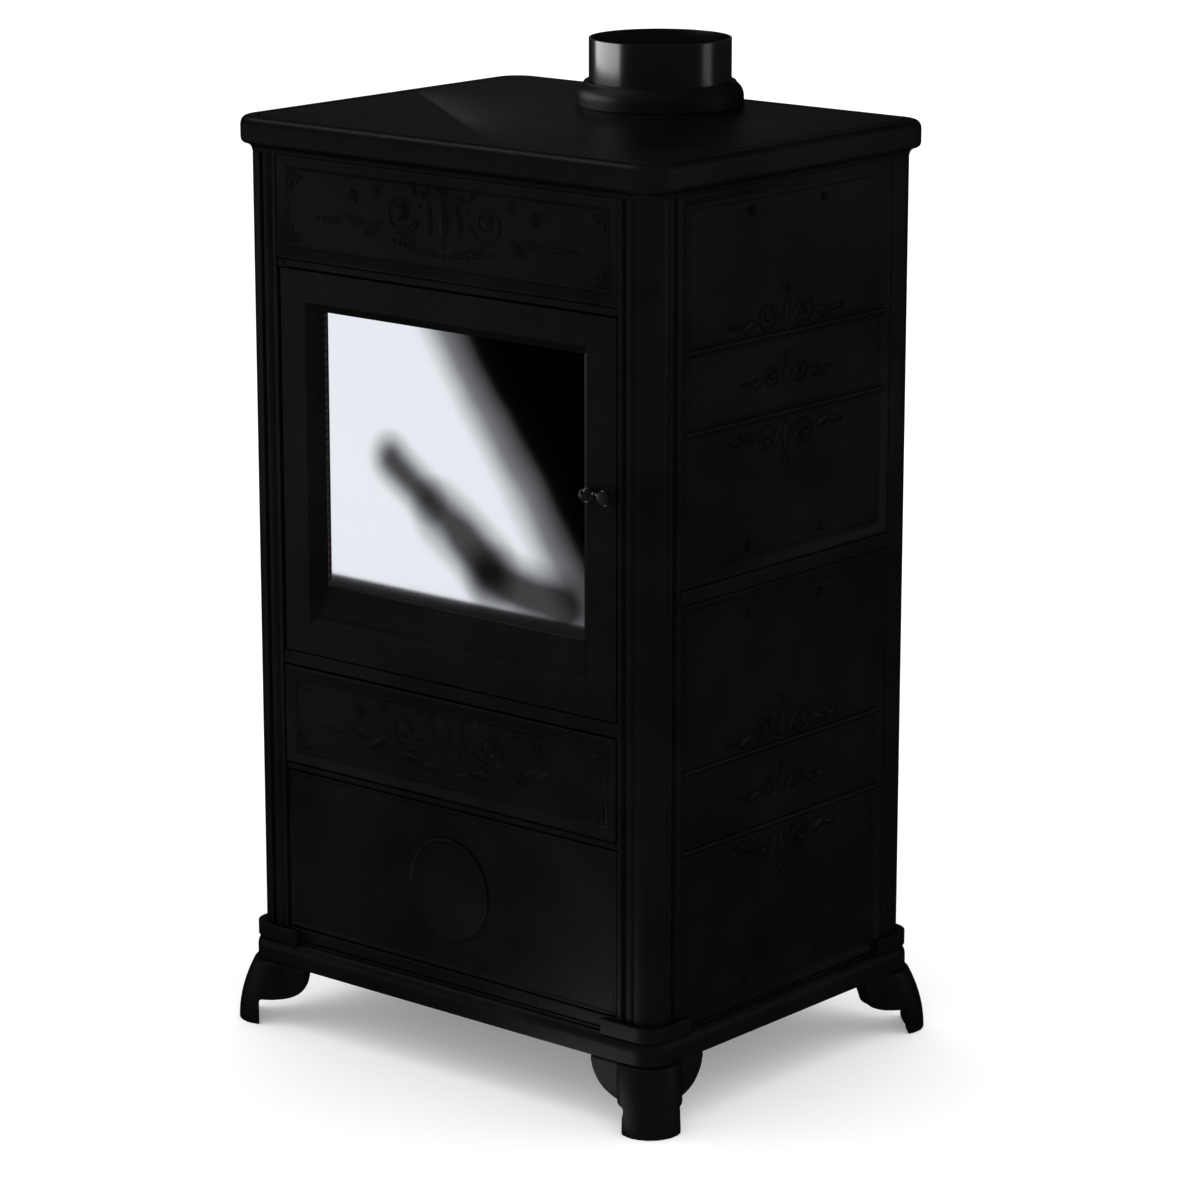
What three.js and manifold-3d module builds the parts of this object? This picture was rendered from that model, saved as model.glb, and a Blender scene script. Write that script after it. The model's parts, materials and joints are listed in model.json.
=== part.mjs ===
// Wood burning stove, cast iron, free-standing.
// Millimetres, +Z up. The origin is on the floor under the middle of the body, and the front faces -Y.
import * as THREE from 'three';
import { mergeVertices } from 'three/addons/utils/BufferGeometryUtils.js';
import Module from 'manifold-3d';

const wasm = await Module();
wasm.setup();

// ---- driving dimensions ----
const gap = 0.3;               // air left between pieces that touch
const bodyWidth = 550;
const bodyDepth = 425;
const footHeight = 69;
const baseHeight = 29;         // the moulded plinth
const bodyHeight = 846;        // the cast walls between plinth and top plate
const topThickness = 36;
const wall = 8;                // thickness of a cast wall
const fluePipeRadius = 75;
const flueBack = 130;          // the flue's middle, behind the body's middle
const flueTop = 1050;
const doorTravel = { low: 420, high: 826 };
const ashFront = { low: 296, high: 401.9 };
const storageFront = { low: 112.3, high: 286.3 };

// ---- heights and planes that follow ----
const side = bodyWidth / 2;
const front = -bodyDepth / 2;
const baseTop = footHeight + baseHeight - gap;
const wallBottom = baseTop + gap;
const wallTop = footHeight + baseHeight + bodyHeight - gap;
const topUnder = wallTop + gap;
const topFace = topUnder + topThickness;
const blockTop = 110;          // the blocks that the pillars stand on
const pillarFlange = 11;
const pillarInner = 230.3;     // the pillars' inner edge, seen from the front
const pillarBack = 170;        // where a pillar's side face ends
const frameFront = front + pillarFlange + gap;
const frameBack = frameFront + wall + 0.2;
const frameHalf = 258;
const frontHalf = 228;         // half the width of the door and the drawer fronts
const railHalf = 229.9;
const frontBack = front + 10;  // the back face of the door and the drawer fronts
const wallInside = side - wall;
const rodPlace = { x: 252, y: 184 };
const rodRadius = 5;

// ---- materials ----
const castIron = new THREE.MeshStandardMaterial({ color: 0x17181a, roughness: 0.5, metalness: 0.6 });
const innerIron = new THREE.MeshStandardMaterial({ color: 0x242322, roughness: 0.8, metalness: 0.5 });
const blackEnamel = new THREE.MeshStandardMaterial({ color: 0x0b0c0d, roughness: 0.12, metalness: 0.1 });
const ceramicGlass = new THREE.MeshStandardMaterial({ color: 0xd9dedd, roughness: 0.04, metalness: 0 });
const glassRope = new THREE.MeshStandardMaterial({ color: 0x3a3936, roughness: 0.95, metalness: 0 });
const fireBrick = new THREE.MeshStandardMaterial({ color: 0xb09a7c, roughness: 0.95, metalness: 0 });
const plainSteel = new THREE.MeshStandardMaterial({ color: 0x6d6f72, roughness: 0.45, metalness: 0.9 });
const paintedSheet = new THREE.MeshStandardMaterial({ color: 0x1c1d1f, roughness: 0.6, metalness: 0.5 });

// ---- solids from three.js geometry ----
function signedVolume(places, corners) {
  const [a, b, c] = [new THREE.Vector3(), new THREE.Vector3(), new THREE.Vector3()];
  let total = 0;
  for (let i = 0; i < corners.length; i += 3) {
    a.fromArray(places, 3 * corners[i]);
    b.fromArray(places, 3 * corners[i + 1]);
    c.fromArray(places, 3 * corners[i + 2]);
    total += a.dot(b.cross(c)) / 6;
  }
  return total;
}

// a closed solid with its faces turned outwards
function solidFrom(places, corners) {
  const kept = [];
  for (let i = 0; i < corners.length; i += 3) {
    const [a, b, c] = corners.slice(i, i + 3);
    if (a !== b && b !== c && c !== a) kept.push(a, b, c);
  }
  if (signedVolume(places, kept) < 0) kept.reverse();
  const mesh = new wasm.Mesh({
    numProp: 3,
    vertProperties: Float32Array.from(places),
    triVerts: Uint32Array.from(kept),
  });
  return new wasm.Manifold(mesh);
}

function solid(geometry) {
  geometry.deleteAttribute('normal');
  geometry.deleteAttribute('uv');
  const merged = mergeVertices(geometry, 1e-3);
  return solidFrom(merged.attributes.position.array, Array.from(merged.index.array));
}

function geometryOf(body) {
  const mesh = body.getMesh();
  const geometry = new THREE.BufferGeometry();
  geometry.setAttribute('position', new THREE.BufferAttribute(Float32Array.from(mesh.vertProperties), 3));
  geometry.setIndex(Array.from(mesh.triVerts));
  geometry.computeVertexNormals();
  return geometry;
}

const join = (...bodies) => bodies.reduce((whole, body) => whole.add(body));
const cut = (whole, ...tools) => tools.reduce((left, tool) => left.subtract(tool), whole);

// the same solid mirrored across X = 0, Y = 0 or both
function mirrored(body, signX, signY) {
  const mesh = body.getMesh();
  const places = Float32Array.from(mesh.vertProperties);
  for (let i = 0; i < places.length; i += 3) {
    places[i] *= signX;
    places[i + 1] *= signY;
  }
  return solidFrom(places, Array.from(mesh.triVerts));
}

function box(x0, x1, y0, y1, z0, z1) {
  const geometry = new THREE.BoxGeometry(x1 - x0, y1 - y0, z1 - z0);
  geometry.translate((x0 + x1) / 2, (y0 + y1) / 2, (z0 + z1) / 2);
  return solid(geometry);
}

// a box about X = 0
const wideBox = (half, y0, y1, z0, z1) => box(-half, half, y0, y1, z0, z1);

function uprightRod(x, y, z0, z1, radius, facets = 20) {
  const geometry = new THREE.CylinderGeometry(radius, radius, z1 - z0, facets);
  geometry.rotateX(Math.PI / 2);
  geometry.translate(x, y, (z0 + z1) / 2);
  return solid(geometry);
}

function levelRod(x, z, y0, y1, radius, facets = 16) {
  const geometry = new THREE.CylinderGeometry(radius, radius, y1 - y0, facets);
  geometry.translate(x, (y0 + y1) / 2, z);
  return solid(geometry);
}

const shapeOf = points => new THREE.Shape(points.map(([a, b]) => new THREE.Vector2(a, b)));

// an outline in plan, raised from z0 to z1
function raised(points, z0, z1) {
  const geometry = new THREE.ExtrudeGeometry(shapeOf(points), { depth: z1 - z0, bevelEnabled: false });
  geometry.translate(0, 0, z0);
  return solid(geometry);
}

// an outline seen from the front, from y0 back to y1
function frontal(points, y0, y1) {
  const geometry = new THREE.ExtrudeGeometry(shapeOf(points), { depth: y1 - y0, bevelEnabled: false });
  geometry.rotateX(Math.PI / 2);
  geometry.translate(0, y1, 0);
  return solid(geometry);
}

// an outline seen along the X axis, from x0 to x1
function sideways(points, x0, x1) {
  const geometry = new THREE.ExtrudeGeometry(shapeOf(points), { depth: x1 - x0, bevelEnabled: false });
  geometry.rotateX(Math.PI / 2);
  geometry.rotateZ(Math.PI / 2);
  geometry.translate(x0, 0, 0);
  return solid(geometry);
}

// a block whose front and back ends are two different rectangles {half, low, high}
function tapered(near, yNear, far, yFar) {
  const geometry = new THREE.BoxGeometry(2, 2, 2);
  const places = geometry.attributes.position;
  for (let i = 0; i < places.count; i += 1) {
    const end = places.getY(i) < 0 ? near : far;
    const y = places.getY(i) < 0 ? yNear : yFar;
    places.setXYZ(i, places.getX(i) * end.half, y, places.getZ(i) < 0 ? end.low : end.high);
  }
  return solid(geometry);
}

// a plate with round corners and a moulded edge: the edge profile turned about the axis, then its
// four quarters moved apart to the corners
function mouldedPlate(profile, width, depth) {
  const corner = Math.max(...profile.map(([radius]) => radius));
  const steps = 24;
  const halfStep = Math.PI / steps;
  const points = profile.map(([radius, z]) => new THREE.Vector2(radius / Math.cos(halfStep), z));
  const geometry = new THREE.LatheGeometry(points, steps, halfStep);
  geometry.rotateX(Math.PI / 2);
  const places = geometry.attributes.position;
  for (let i = 0; i < places.count; i += 1) {
    const [x, y] = [places.getX(i), places.getY(i)];
    if (Math.hypot(x, y) > 0.01) {
      places.setX(i, x + Math.sign(x) * (width / 2 - corner));
      places.setY(i, y + Math.sign(y) * (depth / 2 - corner));
    }
  }
  return solid(geometry);
}

function ring(profile, x, y, steps = 40) {
  const points = [...profile, profile[0]].map(([radius, z]) => new THREE.Vector2(radius, z));
  const geometry = new THREE.LatheGeometry(points, steps);
  geometry.rotateX(Math.PI / 2);
  geometry.translate(x, y, 0);
  return solid(geometry);
}

// a rectangular ring seen from the front: a rope, a gasket or a raised border
function frameRing(outer, inner, y0, y1) {
  const around = ({ half, low, high }) => [[-half, low], [half, low], [half, high], [-half, high]];
  return cut(frontal(around(outer), y0, y1), frontal(around(inner), y0 - 1, y1 + 1));
}

const stove = new THREE.Group();

function add(name, material, body) {
  const mesh = new THREE.Mesh(geometryOf(body), material);
  mesh.name = name;
  stove.add(mesh);
}

const corners = [['front_left', -1, 1], ['front_right', 1, 1], ['rear_left', -1, -1], ['rear_right', 1, -1]];
const hands = [['left', -1], ['right', 1]];

// ---- feet: a hollow toe that flares out over the corner, and a lobed wing along each side ----
const footTop = footHeight - gap;
const legRadius = 30;
const legStart = { x: 254, y: -191.5 };   // the leg's middle where it meets the plinth
const legFlare = 22;

function flaredLeg(radius, inset, z0, z1) {
  const geometry = new THREE.CylinderGeometry(radius, radius, z1 - z0, 22, 6);
  geometry.rotateX(Math.PI / 2);
  geometry.translate(0, 0, (z0 + z1) / 2);
  const places = geometry.attributes.position;
  for (let i = 0; i < places.count; i += 1) {
    const out = (legFlare * (1 - (places.getZ(i) / 75) ** 2) - inset) / Math.SQRT2;
    places.setX(i, legStart.x + places.getX(i) + out);
    places.setY(i, legStart.y + places.getY(i) - out);
  }
  return solid(geometry);
}

function foot() {
  const [lobeWidth, lobeDrop] = [45, 41];
  const wing = start => {
    const points = [[start, footTop]];
    for (let turn = 15; turn <= 90; turn += 15) {
      const angle = THREE.MathUtils.degToRad(turn);
      points.push([start + lobeWidth * (1 - Math.cos(angle)), footTop - lobeDrop * Math.sin(angle)]);
    }
    return [...points, [start + 54, 24], [start + 60, 17], [start + 71, 12], [start + 71, footTop]];
  };
  const frontWing = frontal(wing(200), front - 7, front + 3);
  const sideWing = sideways(wing(137).map(([y, z]) => [-y, z]), side - 3, side + 7);
  const hollow = flaredLeg(22, 9, -1, 52);
  const insideGeometry = new THREE.BoxGeometry(60, 90, 60);
  insideGeometry.rotateZ(-Math.PI / 4);
  insideGeometry.translate(legStart.x - 18, legStart.y + 18, 0);
  const leg = cut(flaredLeg(legRadius, 0, 0, footTop), hollow, solid(insideGeometry));
  const rodHole = uprightRod(rodPlace.x, -rodPlace.y, 0, 80, rodRadius + 0.5, 14);
  return cut(join(leg, frontWing, sideWing), rodHole);
}
const oneFoot = foot();
for (const [name, signX, signY] of corners) add(`foot_${name}`, castIron, mirrored(oneFoot, signX, signY));

// ---- base plate: moulded plinth, open below, with a block under each pillar ----
function basePlate() {
  const corner = 29;
  const plinth = mouldedPlate([
    [0, 88], [corner - 14, 88], [corner - 14, footHeight], [corner - 2, footHeight], [corner, footHeight + 2],
    [corner, 84], [corner - 1, 89.5], [corner - 4, 94.2], [corner - 9, baseTop], [0, baseTop],
  ], bodyWidth + 18, bodyDepth + 18);
  const block = [[213, front - 7], [258, front - 7]];
  for (let turn = 15; turn < 90; turn += 15) {
    const angle = THREE.MathUtils.degToRad(turn);
    block.push([258 + 24 * Math.sin(angle), front + 17 - 24 * Math.cos(angle)]);
  }
  block.push([282, front + 17], [282, -157], [side + gap, -157], [side + gap, -pillarBack + 0.1]);
  block.push([266, -pillarBack + 0.1], [266, front + pillarFlange], [pillarInner, front + pillarFlange]);
  block.push([pillarInner, front - gap], [213, front - gap]);
  const oneBlock = raised(block, baseTop - 2, blockTop);
  const blocks = corners.map(([, signX, signY]) => mirrored(oneBlock, signX, signY));
  const holes = corners.map(([, signX, signY]) =>
    uprightRod(signX * rodPlace.x, signY * rodPlace.y, 60, 100, rodRadius + 0.5, 14));
  return cut(join(plinth, ...blocks), ...holes);
}
add('base_plate', castIron, basePlate());

// ---- pillars: reeded in front, plain behind ----
function arc(from, to, rise, steps) {
  const points = [];
  for (let i = 1; i < steps; i += 1) {
    const along = i / steps;
    points.push([from + (to - from) * along, rise * Math.sin(Math.PI * along)]);
  }
  return points;
}

function pillar(reeded) {
  const roundness = 22.5;
  const points = [[pillarInner, front], [236, front]];
  if (reeded) {
    const frontReed = arc(237, 252, 3, 6).map(([x, rise]) => [x, front + 3 - rise]);
    points.push([236.5, front + 3], ...frontReed);
  }
  points.push([side - roundness, front + (reeded ? 3 : 0)]);
  for (let turn = 10; turn < 90; turn += 10) {
    const angle = THREE.MathUtils.degToRad(turn);
    const x = side - roundness + roundness * Math.sin(angle);
    points.push([x, front + roundness - roundness * Math.cos(angle)]);
  }
  points.push([side - (reeded ? 3 : 0), front + roundness]);
  if (reeded) {
    const sideReed = arc(front + roundness, -176.5, 3, 6).map(([y, rise]) => [side - 3 + rise, y]);
    points.push(...sideReed, [side - 3, -176]);
  }
  points.push([side, -175.5], [side, -pillarBack], [266, -pillarBack]);
  points.push([266, front + pillarFlange], [pillarInner, front + pillarFlange]);
  return raised(points, blockTop + gap, wallTop);
}
const reededPillar = pillar(true);
const plainPillar = pillar(false);
for (const [name, sign] of hands) {
  add(`front_pillar_${name}`, castIron, mirrored(reededPillar, sign, 1));
  add(`rear_post_${name}`, castIron, mirrored(plainPillar, sign, -1));
}

// ---- side walls: two cast plates on each side and the rail between them ----
const plateReach = pillarBack - gap;
const railZ = { low: 536.3, high: 552.7 };

// a cast panel in the right wall: a sunk field, a raised border and two beads across it
function sidePlate(low, high, beads) {
  const field = side - 3;
  const across = (z0, z1) => box(field - 1, side, -plateReach, plateReach, z0, z1);
  const upright = (y0, y1) => box(field - 1, side, y0, y1, low, high);
  const border = 10;
  return join(
    box(wallInside, field, -plateReach, plateReach, low, high),
    across(low, low + border), across(high - border, high),
    upright(-plateReach, -plateReach + border), upright(plateReach - border, plateReach),
    ...beads.map(z => box(field - 1, side, -plateReach + 1, plateReach - 1, z - 3, z + 3)),
  );
}
const upperPlate = sidePlate(railZ.high + gap, wallTop, [707, 788]);
const lowerPlate = sidePlate(wallBottom, railZ.low - gap, [280, 363]);
const sideRail = box(wallInside, side + 1, -plateReach, plateReach, railZ.low, railZ.high);
for (const [name, sign] of hands) {
  add(`upper_side_plate_${name}`, castIron, mirrored(upperPlate, sign, 1));
  add(`lower_side_plate_${name}`, castIron, mirrored(lowerPlate, sign, 1));
  add(`side_rail_${name}`, castIron, mirrored(sideRail, sign, 1));
}

// ---- front frame behind the door and drawers, with the fixed rails between them ----
const hinge = { x: -223, y: front + 5 };
const fireOpening = { half: 198, low: 446, high: 806 };
const ashOpening = { half: 206, low: 296, high: 400 };
const storageOpening = { half: 211, low: 112, high: 285 };
const latch = { x: 219.5, z: 648 };

function frontFrame() {
  const hole = ({ half, low, high }) => wideBox(half, frameFront - 1, frameBack + 1, low, high);
  const rail = (low, high) => wideBox(railHalf, front + 1, frameFront + 0.5, low, high);
  const lugRadius = 6.5;
  const lug = (low, high) => uprightRod(hinge.x, hinge.y, low, high, lugRadius);
  const pinHole = (low, high) => uprightRod(hinge.x, hinge.y, low, high, 3.3, 14);
  const latchSlot = box(213, 227, frameFront - 1, frameBack + 1, 636, 680);
  return cut(
    join(
      cut(
        wideBox(frameHalf, frameFront, frameBack, wallBottom, wallTop),
        hole(fireOpening), hole(ashOpening), hole(storageOpening), latchSlot,
      ),
      rail(doorTravel.high + 1.5, 835.5), rail(ashFront.high + 1.6, doorTravel.low - 1.5),
      rail(storageFront.high + 1.7, ashFront.low - 1.5), rail(wallBottom, blockTop + 1),
      lug(doorTravel.high + 1.5, 835.5), lug(411, doorTravel.low - 1.5),
    ),
    pinHole(doorTravel.high + 1, 836), pinHole(410, doorTravel.low - 1),
  );
}
add('front_frame', castIron, frontFrame());

// ---- decorated panels: a sunk field, a border and a pair of scrolls ----
function scroll(x, y, z) {
  const profile = [[14, 0], [24, 0], [22.5, -2.2], [19, -3], [15.5, -2.2]];
  const points = [...profile, profile[0]].map(([radius, height]) => new THREE.Vector2(radius, height));
  const geometry = new THREE.LatheGeometry(points, 24);
  geometry.translate(x, y, z);
  return join(solid(geometry), levelRod(x, z, y - 3, y, 7));
}

function decoratedPanel(half, low, high, field, back, scrolls) {
  const border = 11;
  return join(
    wideBox(half, field, back, low, high),
    frameRing({ half, low, high }, { half: half - border, low: low + border, high: high - border },
      field - 2.5, field + 0.5),
    ...scrolls.map(([x, z]) => scroll(x, field + 0.5, z)),
  );
}
add('upper_panel', castIron,
  decoratedPanel(railHalf, 836, wallTop, front + 3, frameFront - gap, [[-57, 899], [57, 899]]));

// ---- back plate with air slots and the slide's guides, and the heat shield behind it ----
const backFace = -frameFront;
const airSlots = [-52.5, -17.5, 17.5, 52.5];
const airSlotWidth = 16;

function backPlate() {
  const slots = airSlots.map(x =>
    box(x - airSlotWidth / 2, x + airSlotWidth / 2, -frameBack - 1, backFace + 1, 322, 366));
  const guide = (low, high) => box(-110, 125, backFace - 0.5, backFace + 5, low, high);
  return cut(join(
    wideBox(frameHalf, -frameBack, backFace, wallBottom, wallTop), guide(306, 311), guide(378, 383),
  ), ...slots);
}
add('back_plate', castIron, backPlate());

function airSlide() {
  const [near, far] = [backFace + gap, backFace + 3.3];
  const slots = airSlots.map(x =>
    box(x - airSlotWidth / 2, x + airSlotWidth / 2, near - 1, far + 1, 322, 366));
  return cut(join(
    box(-90, 90, near, far, 313, 376), box(-222, -89, near, far, 340, 350),
    levelRod(-216, 345, far - 0.5, 222, 7),
  ), ...slots);
}
add('air_slide', paintedSheet, airSlide());

function heatShield() {
  const sheet = backFace + 6;
  const bosses = [[-200, 470], [200, 470], [-200, 890], [200, 890]].map(([x, z]) =>
    levelRod(x, z, backFace + gap, sheet + 0.5, 9));
  return join(wideBox(frontHalf, sheet, sheet + 1.5, 430, 925), ...bosses);
}
add('rear_heat_shield', paintedSheet, heatShield());

// ---- top plate: bullnose rim, a groove inside it, hollow below, with bosses for the tie rods ----
function topPlate() {
  const corner = 34;
  const plateUnder = topFace - 10;
  const plate = mouldedPlate([
    [0, plateUnder], [corner - 24, plateUnder], [corner - 24, topUnder], [corner - 11.7, topUnder],
    [corner - 11.2, topUnder + 2.5], [corner - 9.4, topUnder + 5], [corner - 6.5, topUnder + 7],
    [corner - 3, topUnder + 8], [corner - 0.8, topUnder + 10], [corner, topUnder + 13],
    [corner, topFace - 9], [corner - 0.7, topFace - 5.6], [corner - 2.6, topFace - 2.6],
    [corner - 5.6, topFace - 0.7], [corner - 9, topFace],
    [corner - 17, topFace], [corner - 17.8, topFace - 2], [corner - 19.2, topFace - 2],
    [corner - 20, topFace], [0, topFace],
  ], bodyWidth + 24, bodyDepth + 24);
  const eachCorner = make => corners.map(([, signX, signY]) => make(signX * rodPlace.x, signY * rodPlace.y));
  return cut(
    join(plate, ...eachCorner((x, y) => uprightRod(x, y, topUnder + 0.5, plateUnder + 1, 9.5))),
    ...eachCorner((x, y) => uprightRod(x, y, topUnder - 1, plateUnder - 4, rodRadius + 0.5, 14)),
    uprightRod(0, flueBack, topUnder - 1, topFace + 1, fluePipeRadius + 1, 40),
  );
}
add('top_plate', castIron, topPlate());

// ---- flue: a collar bedded on the top plate and the pipe that stands in it ----
const collarInner = fluePipeRadius + 0.6;
add('flue_collar', castIron, ring([
  [collarInner, topFace + gap], [88, topFace + gap], [88, topFace + 10], [87, topFace + 15],
  [84.5, topFace + 19], [81, topFace + 22.5], [80, topFace + 25], [collarInner, topFace + 25],
], 0, flueBack));
const pipeInner = fluePipeRadius - 2;
add('flue_pipe', blackEnamel, ring([
  [pipeInner, topUnder + 2], [fluePipeRadius, topUnder + 2], [fluePipeRadius, flueTop - 0.6],
  [fluePipeRadius - 0.6, flueTop], [pipeInner, flueTop],
], 0, flueBack, 48));

// ---- tie rods that draw the top plate down on the base, nutted under the feet ----
for (const [name, signX, signY] of corners) {
  const [x, y] = [signX * rodPlace.x, -signY * rodPlace.y];
  const nut = uprightRod(x, y, 43, 51.5, 8.5, 6);
  add(`tie_rod_${name}`, plainSteel, join(uprightRod(x, y, 42, 962, rodRadius, 12), nut));
}

// ---- shelves: the ash floor and the firebox floor ----
const shelfHalf = wallInside - gap;
const shelfFront = frameBack + gap;

function shelf(low, high) {
  const [notchX, notchY] = [240, pillarBack - gap];
  const points = [
    [-notchX, shelfFront], [notchX, shelfFront], [notchX, -notchY], [shelfHalf, -notchY],
    [shelfHalf, notchY], [notchX, notchY], [notchX, -shelfFront], [-notchX, -shelfFront],
    [-notchX, notchY], [-shelfHalf, notchY], [-shelfHalf, -notchY], [-notchX, -notchY],
  ];
  return raised(points, low, high);
}
const guideRib = sign => mirrored(box(201, 205, -188, 188, 294, 306), sign, 1);
add('ash_floor', innerIron, join(shelf(289, 295), guideRib(-1), guideRib(1)));

const grate = { halfX: 123, halfY: 103, low: 408.3, high: 416 };
const fireFloorTop = 412;
add('firebox_floor', innerIron, cut(
  shelf(404, fireFloorTop),
  wideBox(grate.halfX - 10, -grate.halfY + 10, grate.halfY - 10, 400, 415),
  wideBox(grate.halfX + 1, -grate.halfY - 1, grate.halfY + 1, grate.low - gap, 415),
));
const grateSlots = [];
for (let x = -96; x <= 96; x += 24) grateSlots.push(box(x - 5, x + 5, -82, 82, 400, 420));
const grateSlab = wideBox(grate.halfX, -grate.halfY, grate.halfY, grate.low, grate.high);
add('grate', innerIron, cut(grateSlab, ...grateSlots));

// ---- fire bricks, baffle and log retainer ----
const brickTop = 690;
const brickBottom = fireFloorTop + gap;
const brickSplit = -2;
const backBrickFront = -shelfFront - 25;
for (const [name, sign] of hands) {
  const sideBrick = (y0, y1) => mirrored(box(241.5, shelfHalf, y0, y1, brickBottom, brickTop), sign, 1);
  add(`fire_brick_${name}_front`, fireBrick, sideBrick(-pillarBack + gap, brickSplit));
  add(`fire_brick_${name}_rear`, fireBrick, sideBrick(brickSplit + gap, backBrickFront - gap));
  const backBrick = box(gap / 2, 239.5, backBrickFront, -shelfFront, brickBottom, brickTop);
  add(`fire_brick_back_${name}`, fireBrick, mirrored(backBrick, sign, 1));
}
add('baffle_plate', innerIron, raised([
  [-262, -70], [262, -70], [262, 170], [239, 170], [239, 190], [-239, 190], [-239, 170], [-262, 170],
], brickTop + gap, brickTop + 7));

function logRetainer() {
  const arches = [-160, -80, 0, 80, 160].map(x => box(x - 22, x + 22, -190, -170, 426, 452));
  return cut(wideBox(238, -184, -177, brickBottom, 470), ...arches);
}
add('log_retainer', innerIron, logRetainer());

// ---- fire door: cast frame with a deep bevelled window, hung on two pins at its left edge ----
const lip = { half: 191, low: 452, high: 794 };
const throat = { half: 183, low: 462, high: 785 };
const sight = { half: 176, low: 493, high: 785 };
const glass = { half: 181, low: 486, high: 791 };
const rimBack = front + 14;
const ropeRing = { outer: { half: 210.5, low: 429, high: 817 }, inner: { half: 202.5, low: 437, high: 809 } };
const widen = ({ half, low, high }, by) => ({ half: half + by, low: low - by, high: high + by });

function fireDoor() {
  const slab = box(hinge.x, frontHalf, front, frontBack, doorTravel.low, doorTravel.high);
  const knuckle = uprightRod(hinge.x, hinge.y, doorTravel.low, doorTravel.high, 5, 24);
  const rim = wideBox(193, frontBack - 0.5, rimBack, 472, 801);
  const pinHole = (low, high) => uprightRod(hinge.x, hinge.y, low, high, 3.1, 14);
  const [outer, inner] = [widen(ropeRing.outer, gap), widen(ropeRing.inner, -gap)];
  const groove = frameRing(outer, inner, frontBack - 6, frontBack + 1);
  return cut(
    join(slab, knuckle, rim),
    tapered(widen(lip, 0.4), front - 0.3, throat, front + 5.5),
    tapered(throat, front + 5.4, sight, rimBack + 0.01),
    groove, levelRod(latch.x, latch.z, front - 1, frontBack + 1, 5),
    pinHole(doorTravel.low - 1, doorTravel.low + 14), pinHole(doorTravel.high - 14, doorTravel.high + 1),
  );
}
add('fire_door', castIron, fireDoor());
add('door_rope_seal', glassRope,
  frameRing(ropeRing.outer, ropeRing.inner, frontBack - 5.7, frameFront - gap));
add('glass_gasket', glassRope, frameRing(glass, widen(sight, 0.5), rimBack + gap, rimBack + 1.6));
const glassFront = rimBack + 1.9;
const glassBack = glassFront + 4;
add('door_glass', ceramicGlass, wideBox(glass.half, glassFront, glassBack, glass.low, glass.high));

// clips that hold the glass, each with the screw that fixes it
const clipBack = glassBack + 2.3;
function glassClip(x, z, inX, inZ) {
  const reach = 9;
  const [x0, x1] = inX ? [Math.min(x, x + inX * 15), Math.max(x, x + inX * 15)] : [x - reach, x + reach];
  const [z0, z1] = inZ ? [Math.min(z, z + inZ * 14), Math.max(z, z + inZ * 14)] : [z - reach, z + reach];
  return join(
    box(x0, x1, glassBack + gap, clipBack, z0, z1),
    levelRod(x, z, rimBack + gap, clipBack + 1.5, 3.4, 12),
  );
}
const clipPlaces = [
  ['left', -187, 650, 1, 0], ['right', 187, 650, -1, 0],
  ['top_left', -110, 796, 0, -1], ['top_right', 110, 796, 0, -1],
  ['bottom_left', -150, 480, 0, 1], ['bottom_right', 150, 480, 0, 1],
];
for (const [name, ...place] of clipPlaces) add(`glass_clip_${name}`, plainSteel, glassClip(...place));

const hingePin = (low, high) => uprightRod(hinge.x, hinge.y, low, high, 2.8, 14);
add('hinge_pin_upper', plainSteel, hingePin(doorTravel.high - 13.5, 835));
add('hinge_pin_lower', plainSteel, hingePin(411.5, doorTravel.low + 13.5));

// ---- latch: a short lever on a spindle, and the tongue that turns behind the frame ----
function latchLever() {
  const ball = new THREE.SphereGeometry(8.5, 16, 10);
  ball.translate(latch.x - 20.5, front - 8.8, latch.z);
  return join(
    solid(ball), levelRod(latch.x, latch.z, front - 12, front - gap, 8, 20),
    box(latch.x - 20, latch.x, front - 11, front - 5, latch.z - 4.5, latch.z + 4.5),
    levelRod(latch.x, latch.z, front - 1, frameBack + 0.1, 4.5),
  );
}
add('latch_lever', blackEnamel, latchLever());
const [tongueNear, tongueFar] = [frameBack + 0.4, frameBack + 5.4];
add('latch_tongue', plainSteel, join(
  levelRod(latch.x, latch.z, tongueNear, tongueFar, 6),
  box(latch.x - 5.5, latch.x + 5.5, tongueNear, tongueFar, latch.z, latch.z + 24),
));

// ---- drawers: cast fronts on sheet boxes ----
function ashPan(half, y0, y1, z0, z1, sheet) {
  return cut(
    wideBox(half, y0, y1, z0, z1),
    wideBox(half - sheet, y0 + sheet, y1 - sheet, z0 + sheet, z1 + 1),
  );
}
const trayFront = frontBack + gap;
add('ash_drawer_front', castIron,
  decoratedPanel(frontHalf, ashFront.low, ashFront.high, front + 1, frontBack, [[-60, 366], [60, 366]]));
add('ash_pan', paintedSheet, ashPan(198, trayFront, 150, 297, 372, 2));

function storagePanel() {
  const { low, high } = storageFront;
  const medallion = levelRod(0, (low + high) / 2, front - 1, front + 2.5, 55, 36);
  return join(wideBox(frontHalf, front + 2, frontBack, low, high), medallion);
}
add('storage_drawer_front', castIron, storagePanel());

// the storage box: four walls standing on a separate bottom sheet
const storageBox = { half: 200, back: 172, low: 113.5, high: 262, sheet: 2 };

function storageWalls() {
  const { half, back, low, high, sheet } = storageBox;
  return cut(
    wideBox(half, trayFront, back, low + sheet + gap, high),
    wideBox(half - sheet, trayFront + sheet, back - sheet, low, high + 1),
  );
}

function storageBase() {
  const { half, back, low, sheet } = storageBox;
  return wideBox(half, trayFront, back, low, low + sheet);
}
add('storage_drawer_box', paintedSheet, storageWalls());
add('storage_drawer_base', paintedSheet, storageBase());

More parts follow.
